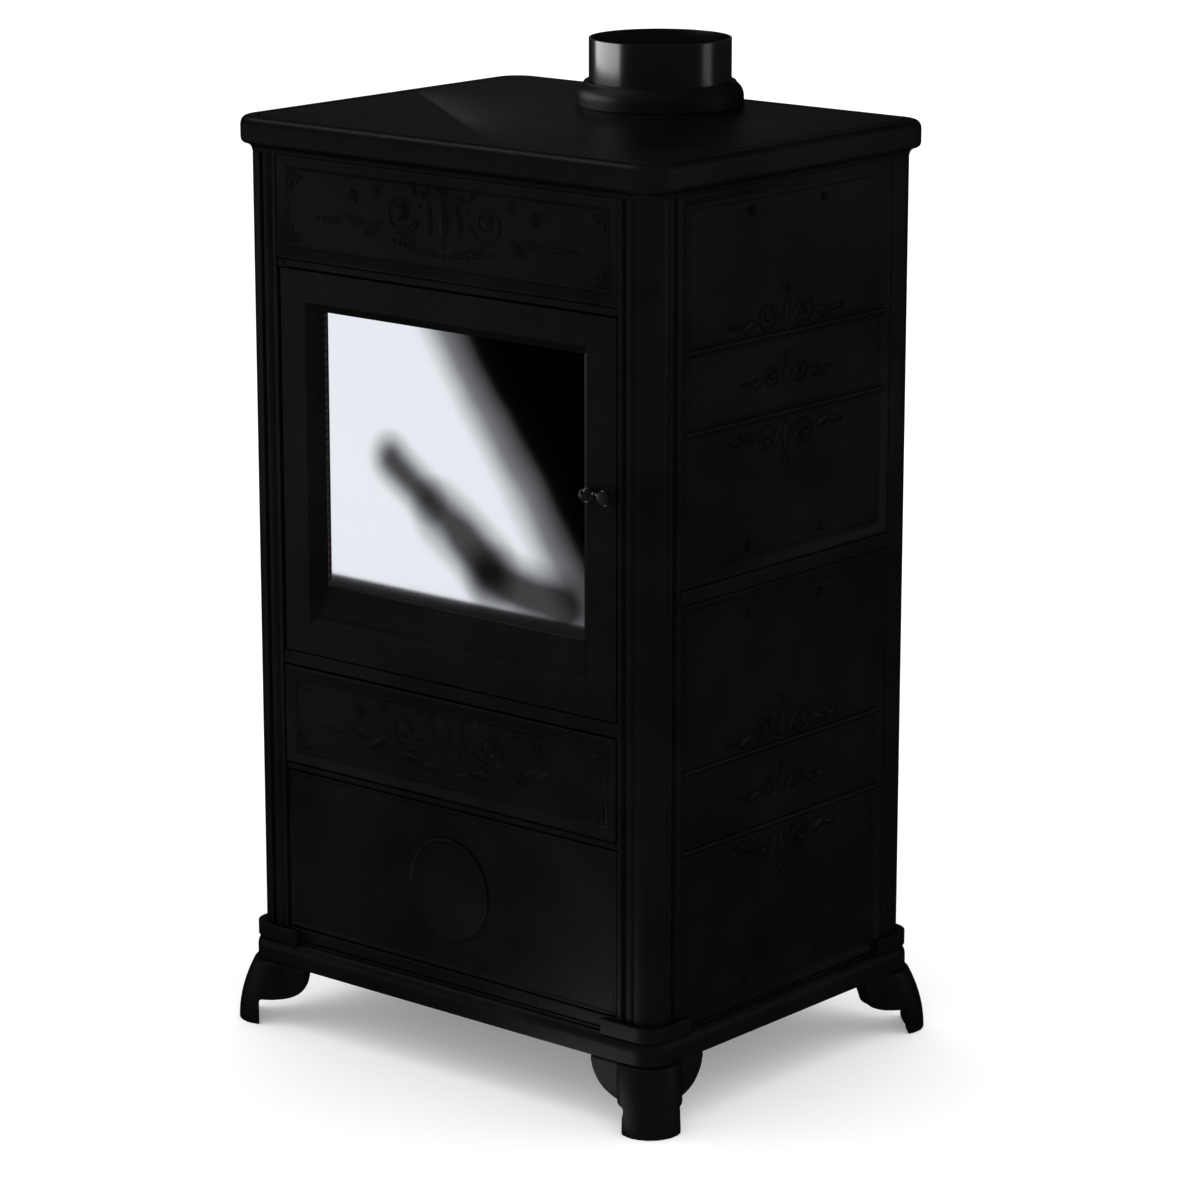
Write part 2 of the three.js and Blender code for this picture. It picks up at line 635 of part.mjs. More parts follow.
// a folded runner under each edge of the storage box
const runnerSection = [[190, wallBottom], [214, wallBottom], [214, 135], [204, 135], [204, 113], [190, 113]];
for (const [name, sign] of hands) {
  const runner = frontal(runnerSection, shelfFront, -shelfFront);
  add(`storage_runner_${name}`, plainSteel, mirrored(runner, sign, 1));
}

export default stove;
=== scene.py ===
import json
import math

import bmesh
import bpy
from mathutils import Matrix, Vector


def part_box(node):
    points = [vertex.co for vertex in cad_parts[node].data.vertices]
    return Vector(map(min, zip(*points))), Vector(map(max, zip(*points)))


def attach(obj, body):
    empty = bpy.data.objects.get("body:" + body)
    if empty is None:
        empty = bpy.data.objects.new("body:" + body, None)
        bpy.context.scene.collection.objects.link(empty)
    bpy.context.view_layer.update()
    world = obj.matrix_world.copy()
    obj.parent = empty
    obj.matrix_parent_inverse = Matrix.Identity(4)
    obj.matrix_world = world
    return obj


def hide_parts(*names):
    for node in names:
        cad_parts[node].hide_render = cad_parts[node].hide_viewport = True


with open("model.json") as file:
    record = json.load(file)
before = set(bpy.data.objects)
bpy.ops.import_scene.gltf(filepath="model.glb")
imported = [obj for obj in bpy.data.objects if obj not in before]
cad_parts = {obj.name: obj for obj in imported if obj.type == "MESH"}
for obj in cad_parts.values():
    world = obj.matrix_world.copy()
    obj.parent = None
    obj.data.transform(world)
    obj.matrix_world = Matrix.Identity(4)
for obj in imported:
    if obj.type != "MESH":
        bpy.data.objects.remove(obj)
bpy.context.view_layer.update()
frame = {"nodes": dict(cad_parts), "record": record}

mm = 0.001
weldReach = 0.01 * mm    # points nearer than this are one point
print("frame loaded:", len(frame["nodes"]), "nodes")


# hand tools: select, shape, finish
def pick(*objs):
    if bpy.context.object and bpy.context.object.mode != "OBJECT":
        bpy.ops.object.mode_set(mode="OBJECT")
    bpy.ops.object.select_all(action="DESELECT")
    for obj in objs:
        obj.select_set(True)
    bpy.context.view_layer.objects.active = objs[0]
    return objs[0]


def settle(obj):    # its place goes into its mesh
    pick(obj)
    bpy.ops.object.transform_apply(location=True, rotation=True, scale=True)
    return obj


def edit(obj, mode="FACE"):
    pick(obj)
    bpy.ops.object.mode_set(mode="EDIT")
    bpy.ops.mesh.select_mode(type=mode)
    bpy.ops.mesh.select_all(action="DESELECT")


def leaveEdit():
    bpy.ops.object.mode_set(mode="OBJECT")


def selectAll():
    bpy.ops.mesh.select_all(action="SELECT")


def extrude(step):
    bpy.ops.mesh.extrude_region_move(TRANSFORM_OT_translate={"value": step})


def faceOutwards():
    selectAll()
    bpy.ops.mesh.normals_make_consistent(inside=False)


def selectFaces(obj, wanted):    # in edit mode, by each face's middle and normal
    mesh = bmesh.from_edit_mesh(obj.data)
    for face in mesh.faces:
        face.select_set(bool(wanted(face.calc_center_median(), face.normal)))
    mesh.select_flush_mode()
    bmesh.update_edit_mesh(obj.data)


def selectEdges(obj, wanted):    # by the places of an edge's two ends
    mesh = bmesh.from_edit_mesh(obj.data)
    for edge in mesh.edges:
        edge.select_set(bool(wanted(edge.verts[0].co, edge.verts[1].co)))
    bmesh.update_edit_mesh(obj.data)


def roundEdges(obj, wanted, offset, segments=6):
    edit(obj, "EDGE")
    selectEdges(obj, wanted)
    bpy.ops.mesh.bevel(offset=offset, segments=segments, affect="EDGES")
    leaveEdit()


def selectPoints(obj, wanted):
    mesh = bmesh.from_edit_mesh(obj.data)
    for point in mesh.verts:
        point.select_set(bool(wanted(point.co)))
    mesh.select_flush_mode()
    bmesh.update_edit_mesh(obj.data)


def block(low, high):
    low, high = Vector(low), Vector(high)
    bpy.ops.mesh.primitive_cube_add(size=1, location=(low + high) / 2, scale=high - low)
    return settle(bpy.context.object)


def softBlock(low, high, width=0.0008, segments=2):
    return modified(block(low, high), "BEVEL", width=width, segments=segments, limit_method="NONE")


def rod(start, end, radius, sides=32, endRadius=None):
    start, end = Vector(start), Vector(end)
    along = end - start
    bpy.ops.mesh.primitive_cone_add(vertices=sides, radius1=radius, depth=along.length,
                                    radius2=radius if endRadius is None else endRadius)
    obj = bpy.context.object
    obj.rotation_mode = "QUATERNION"
    obj.rotation_quaternion = along.to_track_quat("Z", "Y")
    obj.location = (start + end) / 2
    return settle(obj)


def ball(centre, radii, segments=24, rings=14):
    bpy.ops.mesh.primitive_uv_sphere_add(segments=segments, ring_count=rings, radius=1, location=centre,
                                         scale=radii)
    return settle(bpy.context.object)


def modified(obj, kind, **settings):
    pick(obj)
    modifier = obj.modifiers.new(kind.title(), kind)
    for key, value in settings.items():
        setattr(modifier, key, value)
    bpy.ops.object.modifier_apply(modifier=modifier.name)
    return obj


def softened(obj, width, segments=3, angle=32):
    return modified(obj, "BEVEL", width=width, segments=segments, limit_method="ANGLE",
                    angle_limit=math.radians(angle), use_clamp_overlap=True, harden_normals=False)


def carved(obj, *tools, operation="DIFFERENCE"):
    for tool in tools:
        modified(obj, "BOOLEAN", object=tool, operation=operation, solver="EXACT")
        bpy.data.objects.remove(tool)
    return obj


def fused(obj, *others):
    return carved(obj, *others, operation="UNION")


def gathered(*objs):    # several shells in one object
    pick(*objs)
    bpy.ops.object.join()
    return bpy.context.object


def twin(obj, matrix=None):    # a copy with its own mesh, moved by matrix
    other = obj.copy()
    other.data = obj.data.copy()
    bpy.context.collection.objects.link(other)
    if matrix is not None:
        other.data.transform(matrix)
        if matrix.determinant() < 0:
            other.data.flip_normals()
    return other


def tidied(obj):
    edit(obj)
    selectAll()
    bpy.ops.mesh.remove_doubles(threshold=weldReach)
    bpy.ops.mesh.normals_make_consistent(inside=False)
    leaveEdit()
    return obj


# a chain of points drawn by extruding one vertex; closed, filled and pushed along a vector
def outlined(points, push=None):
    bpy.ops.mesh.primitive_plane_add(size=0.001, location=(0, 0, 0))
    obj = bpy.context.object
    edit(obj, "VERT")
    selectAll()
    bpy.ops.mesh.merge(type="CENTER")
    bpy.ops.transform.translate(value=points[0])
    for before, after in zip(points, points[1:]):
        step = Vector(after) - Vector(before)
        bpy.ops.mesh.extrude_vertices_move(TRANSFORM_OT_translate={"value": step})
    if push is not None:
        selectAll()
        bpy.ops.mesh.edge_face_add()
        extrude(push)
        selectAll()
        bpy.ops.mesh.normals_make_consistent(inside=False)
    leaveEdit()
    return obj


def turned(profile, centre, steps=72):    # profile of (radius, height), closed, spun about an upright axis
    x, y = centre
    obj = outlined([(x + radius, y, height) for radius, height in [*profile, profile[0]]])
    edit(obj, "VERT")
    selectAll()
    bpy.ops.mesh.remove_doubles(threshold=weldReach)
    selectAll()
    bpy.ops.mesh.spin(steps=steps, angle=2 * math.pi, center=(x, y, 0), axis=(0, 0, 1))
    leaveEdit()
    return tidied(obj)


# a slab with round corners between two corners of a box, moulded above and below its upright edge
# by (inwards, out) steps
def mouldedSlab(low, high, corner, edgeLow, edgeHigh, above, below):
    bpy.ops.mesh.primitive_plane_add(size=1, location=(0, 0, edgeLow))
    obj = bpy.context.object
    obj.scale = (high[0] - low[0], high[1] - low[1], 1)
    settle(obj)
    edit(obj, "VERT")
    selectAll()
    bpy.ops.mesh.bevel(offset=corner, segments=14, affect="VERTICES")
    selectAll()
    extrude((0, 0, edgeHigh - edgeLow))
    faceOutwards()
    bpy.ops.mesh.select_mode(type="FACE")
    for height, steps in ((edgeHigh, above), (edgeLow, below)):
        selectFaces(obj, lambda middle, normal: abs(middle.z - height) < 1e-6 and abs(normal.z) > 0.9)
        for inwards, out in steps:
            bpy.ops.mesh.inset(thickness=inwards, depth=out)
    leaveEdit()
    return tidied(obj)


# mould one flat face by (inwards, out) steps
def mouldFace(obj, wanted, steps):
    edit(obj)
    selectFaces(obj, wanted)
    for inwards, out in steps:
        bpy.ops.mesh.inset(thickness=inwards, depth=out)
    leaveEdit()
    return obj


def joinedName(node):    # upper_side_plate to upperSidePlate
    words = node.split("_")
    return words[0] + "".join(word.title() for word in words[1:])


# a piece takes its body, slot and finish from the node that it stands for
def finished(obj, name, node, angle=38):
    body, slot = bodyOf[node], slotOf[node]
    obj.name = name
    obj.data.name = name
    obj.data.materials.clear()
    obj.data.materials.append(nodeFinish[slot])
    pick(obj)
    bpy.ops.object.shade_smooth_by_angle(angle=math.radians(angle))
    modified(obj, "WEIGHTED_NORMAL", weight=80, keep_sharp=True)    # wide flats stay flat beside a soft edge
    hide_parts(node)
    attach(obj, body)
    return obj


# shader maths
class Wire:    # a socket that can be reckoned with
    def __init__(self, tree, socket):
        self.tree = tree
        self.socket = socket

    def reckon(self, operation, first, second):
        node = self.tree.nodes.new("ShaderNodeMath")
        node.operation = operation
        for place, value in zip(node.inputs, (first, second)):
            if isinstance(value, Wire):
                self.tree.links.new(value.socket, place)
            else:
                place.default_value = value
        return Wire(self.tree, node.outputs[0])

    def __add__(self, other):
        return self.reckon("ADD", self, other)

    def __radd__(self, other):
        return self.reckon("ADD", other, self)

    def __sub__(self, other):
        return self.reckon("SUBTRACT", self, other)

    def __rsub__(self, other):
        return self.reckon("SUBTRACT", other, self)

    def __mul__(self, other):
        return self.reckon("MULTIPLY", self, other)

    def __rmul__(self, other):
        return self.reckon("MULTIPLY", other, self)


def addNode(tree, kind, sockets=None, settings=None, out=0):    # any other node
    node = tree.nodes.new(kind)
    for key, value in (settings or {}).items():
        if key == "stops":
            while len(node.color_ramp.elements) < len(value):
                node.color_ramp.elements.new(0.5)
            for element, (position, shade) in zip(node.color_ramp.elements, value):
                element.position = position
                element.color = (*shade, 1) if isinstance(shade, tuple) else (shade, shade, shade, 1)
        else:
            setattr(node, key, value)
    for key, value in (sockets or {}).items():
        if isinstance(value, Wire):
            tree.links.new(value.socket, node.inputs[key])
        else:
            node.inputs[key].default_value = value
    return Wire(tree, node.outputs[out])


class Finish:    # one material, built round a Principled shader
    def __init__(self, name, **fixed):
        self.material = bpy.data.materials.new(name)
        self.material.use_nodes = True
        self.tree = self.material.node_tree
        self.shader = self.tree.nodes["Principled BSDF"]
        self.place = self.add("ShaderNodeTexCoord", out="Object")
        for socket, value in fixed.items():
            self.shader.inputs[socket.replace("_", " ")].default_value = value

    def add(self, kind, sockets=None, settings=None, out=0):
        return addNode(self.tree, kind, sockets, settings, out)

    def noise(self, scale, detail=3.0, roughness=0.55, vector=None):
        sockets = {"Vector": vector or self.place, "Scale": scale, "Detail": detail, "Roughness": roughness}
        return self.add("ShaderNodeTexNoise", sockets)

    def stretched(self, scale):
        return self.add("ShaderNodeMapping", {"Vector": self.place, "Scale": scale})

    def ramp(self, value, *stops):
        return self.add("ShaderNodeValToRGB", {"Fac": value}, {"stops": stops})

    def mixed(self, factor, first, second):
        settings = {"data_type": "RGBA"}
        colours = {6: (*first, 1) if isinstance(first, tuple) else first,
                   7: (*second, 1) if isinstance(second, tuple) else second}
        return self.add("ShaderNodeMix", {0: factor, **colours}, settings, out=2)

    def drive(self, socket, wire):
        self.tree.links.new(wire.socket, self.shader.inputs[socket])

    def bump(self, height, strength, distance):
        self.drive("Normal", self.add("ShaderNodeBump", {"Height": height, "Strength": strength,
                                                         "Distance": distance}))


def castIronFinish(name, dark, pale, gloss, grainDepth):
    finish = Finish(name, Metallic=0.0, Specular_IOR_Level=0.2)
    grain = finish.noise(750, 4, 0.62)
    lumps = finish.noise(95, 3, 0.5)
    patches = finish.noise(9, 3, 0.55)
    pits = finish.add("ShaderNodeTexVoronoi", {"Vector": finish.place, "Scale": 260.0}, out="Distance")
    finish.drive("Base Color", finish.mixed(finish.ramp(patches, (0.32, 0.0), (0.72, 1.0)), dark, pale))
    finish.drive("Roughness", patches * 0.14 + grain * 0.1 + (gloss - 0.12))
    finish.bump(grain * 0.7 + lumps * 0.9 + pits * 0.35, 0.42, grainDepth)
    return finish.material


castIron = castIronFinish("castIronBlack", (0.0020, 0.0022, 0.0027), (0.0039, 0.0042, 0.0049), 0.44, 0.5 * mm)
innerIron = castIronFinish("bareIronSooted", (0.018, 0.016, 0.014), (0.055, 0.05, 0.045), 0.78, 0.7 * mm)


def pipeFinish():
    finish = Finish("pipeEnamel", Metallic=0.0, Specular_IOR_Level=0.7, Coat_Roughness=0.16, Coat_IOR=1.5)
    peel = finish.noise(120, 2, 0.5)
    waves = finish.noise(16, 2, 0.5)
    finish.drive("Base Color", finish.mixed(waves, (0.0035, 0.0036, 0.004), (0.006, 0.0062, 0.0068)))
    finish.drive("Roughness", waves * 0.06 + 0.2)
    finish.drive("Coat Weight", waves * 0.2 + 0.5)
    finish.bump(peel * 0.4 + waves * 1.2, 0.12, 0.5 * mm)
    return finish.material


pipeEnamel = pipeFinish()


def sheetFinish():
    finish = Finish("paintedSheet", Metallic=0.0, Specular_IOR_Level=0.4)
    grain = finish.noise(1200, 3, 0.6)
    patches = finish.noise(12, 3, 0.6)
    finish.drive("Base Color", finish.mixed(patches, (0.012, 0.012, 0.013), (0.026, 0.026, 0.028)))
    finish.drive("Roughness", patches * 0.12 + 0.5)
    finish.bump(grain, 0.3, 0.15 * mm)
    return finish.material


paintedSheet = sheetFinish()


def steelFinish():
    finish = Finish("plainSteel", Metallic=0.95)
    brushed = finish.noise(60, 4, 0.6, finish.stretched((1, 1, 22)))
    stains = finish.noise(40, 4, 0.65)
    spots = finish.ramp(stains, (0.55, 0.0), (0.7, 1.0))
    finish.drive("Base Color", finish.mixed(spots, (0.26, 0.25, 0.24), (0.11, 0.075, 0.05)))
    finish.drive("Roughness", brushed * 0.2 + 0.28)
    finish.bump(brushed, 0.15, 0.1 * mm)
    return finish.material


plainSteel = steelFinish()


def glassFinish():    # clear ceramic glass with the thin mirror coat that throws heat back
    finish = Finish("ceramicGlass", Metallic=1.0, Roughness=0.03, IOR=1.52)
    haze = finish.noise(7, 3, 0.55)
    smoke = finish.noise(3.2, 2, 0.5)
    finish.drive("Base Color", finish.mixed(haze, (0.93, 0.94, 0.94), (0.88, 0.89, 0.9)))
    finish.drive("Alpha", smoke * 0.06 + 0.92)
    return finish.material


ceramicGlass = glassFinish()


def ropeFinish():
    finish = Finish("glassRope", Metallic=0.0, Roughness=0.92, Specular_IOR_Level=0.2)
    bands = {"wave_type": "BANDS", "bands_direction": "DIAGONAL"}
    strands = {"Scale": 75.0, "Distortion": 0.4}
    leaning, across = [finish.add("ShaderNodeTexWave", {"Vector": vector, **strands}, bands, 1)
                       for vector in (finish.place, finish.stretched((-1, 1, 1)))]
    weave = leaning * across
    soot = finish.noise(20, 3, 0.6)
    # painted shade: the braid's hollows between strands are coloured darker, following the same weave as the
    # bump, mixed with real soot
    strandShadeAndSoot = weave * 0.7 + soot * 0.3
    finish.drive("Base Color", finish.mixed(strandShadeAndSoot, (0.03, 0.028, 0.025), (0.16, 0.15, 0.135)))
    finish.bump(weave, 0.8, 1.0 * mm)
    return finish.material


glassRope = ropeFinish()


def brickFinish():
    finish = Finish("vermiculite", Metallic=0.0, Specular_IOR_Level=0.25)
    flakes = finish.add("ShaderNodeTexVoronoi", {"Vector": finish.place, "Scale": 420.0}, out="Color")
    flake = finish.add("ShaderNodeSeparateColor", {"Color": flakes})
    soot = finish.noise(8, 4, 0.6)
    grains = finish.noise(300, 4, 0.7)
    board = finish.mixed(flake * 0.7 + grains * 0.3, (0.26, 0.18, 0.10), (0.48, 0.39, 0.27))
    sooty = finish.ramp(soot, (0.34, 0.0), (0.62, 1.0))
    finish.drive("Base Color", finish.mixed(sooty, board, (0.05, 0.045, 0.04)))
    finish.drive("Roughness", grains * 0.1 + 0.86)
    finish.bump(grains * 0.7 + flake * 0.4, 0.6, 0.8 * mm)
    return finish.material


fireBrick = brickFinish()
print("materials made")

nodeFinish = {
    "cast_iron_black": castIron, "inner_iron": innerIron, "pipe_enamel": pipeEnamel,
    "painted_sheet": paintedSheet, "plain_steel": plainSteel, "ceramic_glass": ceramicGlass,
    "glass_rope": glassRope, "fire_brick": fireBrick,
}
slotOf = {part["node"]: part["material_slot"] for part in frame["record"]["subparts"]}
bodyOf = {node: body for body, nodes in frame["record"]["behaviour"]["bodies"].items() for node in nodes}
for nodeName, nodeObject in frame["nodes"].items():
    nodeObject.data.materials.clear()
    nodeObject.data.materials.append(nodeFinish[slotOf[nodeName]])


def sameAs(node, name, width):    # the node's own shape with its sharp edges softened
    copy = twin(frame["nodes"][node])
    copy.parent = None
    for key in list(copy.keys()):
        del copy[key]
    tidied(copy)
    edit(copy)
    selectAll()
    bpy.ops.mesh.dissolve_limited(angle_limit=math.radians(1))
    leaveEdit()
    softened(copy, width, 2)
    return finished(copy, name, node)


# relief ornament, modelled once about the origin in the X-Z plane, facing -Y
def volute(radius, thickness, turns=1.6, shrink=0.22, steps=44):
    bpy.ops.mesh.primitive_circle_add(vertices=10, radius=thickness / 2, fill_type="NOTHING",
                                      location=(radius, 0, 0))
    obj = settle(bpy.context.object)
    edit(obj, "VERT")
    selectAll()
    bpy.ops.mesh.edge_face_add()
    turn = turns * 2 * math.pi / steps
    ratio = shrink ** (1 / steps)
    for step in range(steps):
        bpy.ops.mesh.extrude_region_move()
        bpy.ops.transform.rotate(value=turn, orient_axis="Y", center_override=(0, 0, 0))
        bpy.ops.transform.resize(value=(ratio, ratio, ratio), center_override=(0, 0, 0))
    faceOutwards()
    leaveEdit()
    eye = ball((0, 0, 0), (radius * 0.26, thickness * 0.55, radius * 0.26), 16, 10)
    return gathered(obj, eye)


def leaf(length, width, height):    # a pointed leaf along +X with a raised midrib
    obj = ball((length / 2, 0, 0), (length / 2, height, width / 2), 20, 16)
    edit(obj, "VERT")
    for share in range(1, 20):
        along = length * share / 20
        selectPoints(obj, lambda co: abs(co.x - along) < length / 40)
        narrow = 0.25 + 0.75 * math.sin(math.pi * min(1.0, 1.25 * (1 - share / 20)) / 2) ** 1.2
        bpy.ops.transform.resize(value=(1, 1, narrow), center_override=(along, 0, 0))
    selectPoints(obj, lambda co: abs(co.z) < width * 0.03)
    bpy.ops.transform.resize(value=(1, 1.35, 1), center_override=(0, 0, 0))
    leaveEdit()
    return obj


def placed(pattern, x, z, turn=0.0, size=1.0, turnedOver=False):
    matrix = (Matrix.Translation((x, 0, z)) @ Matrix.Rotation(-math.radians(turn), 4, "Y")
              @ Matrix.Diagonal((size, 1, -size if turnedOver else size, 1)))
    return twin(patterns[pattern], matrix)


# camera, floor and lights
cameraView = {"azimuth": 40.3, "elevation": 14.05, "distance": 4.64, "lens": 131.9,
              "aside": 0.0210, "height": 0.468}


def addCamera(view):
    azimuth, elevation = math.radians(view["azimuth"]), math.radians(view["elevation"])
    back = Vector((math.sin(azimuth) * math.cos(elevation), -math.cos(azimuth) * math.cos(elevation),
                   math.sin(elevation)))
    aside = Vector((math.cos(azimuth), math.sin(azimuth), 0)) * view["aside"]
    target = aside + Vector((0, 0, view["height"]))
    bpy.ops.object.camera_add(location=target + back * view["distance"])
    camera = bpy.context.object
    camera.rotation_euler = back.to_track_quat("Z", "Y").to_euler()
    camera.data.lens = view["lens"]
    camera.data.sensor_width = 36
    camera.data.clip_end = 200
    bpy.context.scene.camera = camera


def addLamp(name, place, aim, size, power, diffuse=True):
    place, aim = Vector(place), Vector(aim)
    bpy.ops.object.light_add(type="AREA", location=place)
    lamp = bpy.context.object
    lamp.name = name
    lamp.rotation_euler = (place - aim).to_track_quat("Z", "Y").to_euler()
    lamp.data.shape = "RECTANGLE"
    lamp.data.size, lamp.data.size_y = size
    lamp.data.energy = power
    lamp.visible_camera = False
    lamp.visible_diffuse = diffuse


addCamera(cameraView)
lamps = {
    "leftSoft": dict(place=(-2.3, -1.25, 0.42), aim=(0, 0, 0.9), size=(1.7, 0.7), power=1.1),
    "overheadLeft": dict(place=(-1.6, -0.7, 2.9), aim=(0, 0, 0.7), size=(1.4, 0.9), power=7.5),
    "behindLeft": dict(place=(-2.3, 2.6, 1.5), aim=(0, 0, 0.9), size=(1.2, 1.0), power=0.3),
    "rightWash": dict(place=(2.9, 1.8, 1.2), aim=(0.2, 0, 0.5), size=(1.0, 1.6), power=3.4),
    "pipeGleam": dict(place=(-0.180, -0.025, 1.030), aim=(0, 0.215, 1.030), size=(0.25, 0.07), power=0.20,
                      diffuse=False),    # only for the enamel's mirror
    "footGleam": dict(place=(0.12, -0.37, 0.004), aim=(0.15, -0.30, 0.6), size=(0.20, 0.24), power=0.22),
}
for lampName, lampValues in lamps.items():
    addLamp(lampName, **lampValues)


def addFloor():
    bpy.ops.mesh.primitive_plane_add(size=1, location=(0, 0, 0))
    floor = bpy.context.object
    floor.scale = (90, 90, 1)
    settle(floor)
    floor.name = "studioFloor"
    finish = Finish("paleFloor", Roughness=0.9, Specular_IOR_Level=0.0)
    mottle = finish.noise(3, 3, 0.5)
    finish.drive("Base Color", finish.mixed(mottle, (0.93, 0.93, 0.93), (0.95, 0.95, 0.95)))
    finish.drive("Emission Color", finish.mixed(mottle, (0.9, 0.9, 0.9), (1, 1, 1)))
    finish.shader.inputs["Emission Strength"].default_value = 0.22
    floor.data.materials.append(finish.material)
    floor.visible_glossy = False


# how bright the air is by itself, and in a gloss
airValues = {"pale": 1.07, "mirrored": 0.01, "mirroredColour": (0.95, 0.97, 1, 1)}


def addWorld():
    world = bpy.data.worlds.new("studioAir")
    bpy.context.scene.world = world
    world.use_nodes = True
    tree = world.node_tree
    pale = addNode(tree, "ShaderNodeBackground", {"Color": (1, 1, 1, 1), "Strength": airValues["pale"]})
    dim = addNode(tree, "ShaderNodeBackground", {"Color": airValues["mirroredColour"],
                                                 "Strength": airValues["mirrored"]})
    glossy = addNode(tree, "ShaderNodeLightPath", out="Is Glossy Ray")
    either = addNode(tree, "ShaderNodeMixShader", {"Fac": glossy, 1: pale, 2: dim})
    tree.links.new(either.socket, tree.nodes["World Output"].inputs["Surface"])


addFloor()
addWorld()

# a card that only the door glass mirrors: a bright wall cut off by a slanting dark edge, with a dark smudge
cardValues = {
    "y": -1.4, "left": -1.45, "right": -0.70, "low": 0.100, "high": 0.498,
    "glow": 1.0,
    "edge": ((-1.117, 0.484), (-0.900, 0.178)),    # the dark edge runs through these two places (x, z)
    "edgeSoft": 0.046,
    "smudge": ((-1.210, 0.284), (-1.148, 0.239)), "smudgeWide": 0.046,
    "tail": ((-1.120, 0.218), (-1.030, 0.156)), "tailWide": 0.062,
    "foot": ((-1.030, 0.142), (-0.890, 0.120)), "footWide": 0.056,
}


# how far along and how far aside of a line in the X-Z plane, as wires
def lineTo(place, start, stop):
    length = math.dist(start, stop)
    alongX, alongZ = (stop[0] - start[0]) / length, (stop[1] - start[1]) / length
    x, z = place
    along = (x - start[0]) * (alongX / length) + (z - start[1]) * (alongZ / length)
    aside = (x - start[0]) * -alongZ + (z - start[1]) * alongX
    return along, aside


def addCard(values):
    bpy.ops.mesh.primitive_plane_add(size=1, rotation=(math.pi / 2, 0, 0))
    card = bpy.context.object
    card.scale = (values["right"] - values["left"], values["high"] - values["low"], 1)
    card.location = ((values["left"] + values["right"]) / 2, values["y"],
                     (values["low"] + values["high"]) / 2)
    settle(card)
    card.name = "reflectionCard"
    finish = Finish("reflectionCard", Roughness=1.0, Specular_IOR_Level=0.0)
    finish.shader.inputs["Base Color"].default_value = (0, 0, 0, 1)
    x = finish.add("ShaderNodeSeparateXYZ", {"Vector": finish.place})
    z = Wire(finish.tree, x.socket.node.outputs[2])
    waver = finish.noise(6, 2, 0.5) - 0.5
    along, aside = lineTo((x, z), *values["edge"])
    inward = (waver * 0.03 - aside) * (0.5 / values["edgeSoft"]) + 0.5
    lit = finish.ramp(inward, (0.0, 0.0), (0.5, 0.21), (1.0, 1.0))
    for name in ("smudge", "tail", "foot"):
        wide = values[name + "Wide"]
        along, aside = lineTo((x, z), *values[name])
        inside = finish.add("ShaderNodeClamp", {"Value": along})
        past = (along - inside) * math.dist(*values[name])
        far = (aside * aside + past * past) * (1 / wide ** 2)
        lit = lit * finish.ramp(far + waver * 0.7, (0.04, 0.06), (0.36, 0.50), (1.0, 1.0))
    glow = finish.mixed(lit, (0, 0, 0), (0.93, 0.95, 1.0))
    finish.drive("Emission Color", glow)
    finish.shader.inputs["Emission Strength"].default_value = values["glow"]
    card.data.materials.append(finish.material)
    card.visible_camera = False
    card.visible_diffuse = False
    card.visible_shadow = False
    card.visible_transmission = False


addCard(cardValues)
bpy.context.scene.view_settings.view_transform = "Standard"
print("stage set")

# top plate: bullnose rim, a groove inside it, hollow below
topPlateValues = {
    "corner": 0.034,
    "edge": (0.957, 0.971),    # the upright part of the rim
    "above": [(0.0007, 0.0034), (0.0008, 0.0017), (0.0011, 0.0013), (0.0013, 0.0011), (0.0017, 0.0008),
              (0.0017, 0.0005), (0.0017, 0.0002), (0.0080, 0.0), (0.0004, -0.0009), (0.0007, -0.0011),
              (0.0010, 0.0), (0.0005, 0.0011), (0.0006, 0.0009)],
    "below": [(0.0003, 0.0016), (0.0005, 0.0014), (0.0010, 0.0012), (0.0012, 0.0008), (0.0017, 0.0005),
              (0.0018, 0.0005), (0.0014, 0.0009), (0.0015, 0.0011), (0.0010, 0.0012), (0.0008, 0.0013),
              (0.0005, 0.0025), (0.0123, 0.0), (0.0008, -0.0255)],
    "flueHole": 0.076, "bossRadius": 0.0095, "rodHole": 0.0055,
}
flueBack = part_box("flue_pipe")[0].y / 2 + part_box("flue_pipe")[1].y / 2
rodPlaces = [[(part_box(node)[0][axis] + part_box(node)[1][axis]) / 2 for axis in (0, 1)]
             for node in frame["nodes"] if node.startswith("tie_rod")]


def makeTopPlate(values):
    low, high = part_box("top_plate")
    plate = mouldedSlab(low, high, values["corner"], *values["edge"], values["above"], values["below"])
    for x, y in rodPlaces:
        boss = rod((x, y, low.z + 0.0005), (x, y, high.z - 0.006), values["bossRadius"])
        fused(plate, boss)
        carved(plate, rod((x, y, low.z - 0.001), (x, y, high.z - 0.014), values["rodHole"]))
    carved(plate, rod((0, flueBack, low.z), (0, flueBack, high.z + 0.01), values["flueHole"], 96))
    return finished(plate, "topPlateCasting", "top_plate")


makeTopPlate(topPlateValues)
print("top plate made")

# plinth with the blocks that the pillars stand on
plinthValues = {
    "corner": 0.029,
    "edge": (0.071, 0.0835),
    "above": [(0.0003, 0.0020), (0.0005, 0.0018), (0.0008, 0.0018), (0.0011, 0.0016), (0.0011, 0.0014),
              (0.0013, 0.0013), (0.0014, 0.0010), (0.0025, 0.0), (0.0, 0.0030)],
    "below": [(0.0004, 0.0012), (0.0006, 0.0007), (0.0010, 0.0001), (0.0120, 0.0), (0.0010, -0.0180)],
    "blockTop": 0.110, "blockCorner": 0.024, "blockRound": 0.0012, "blockSink": 0.004,
    "blockFront": -0.2195, "blockSide": 0.282, "eave": 0.0123,
    "blockBack": [(0.2753, -0.157), (0.2753, -0.1699), (0.266, -0.1699), (0.266, -0.2015), (0.2303, -0.2015),
                  (0.2303, -0.2128), (0.213, -0.2128)],
}


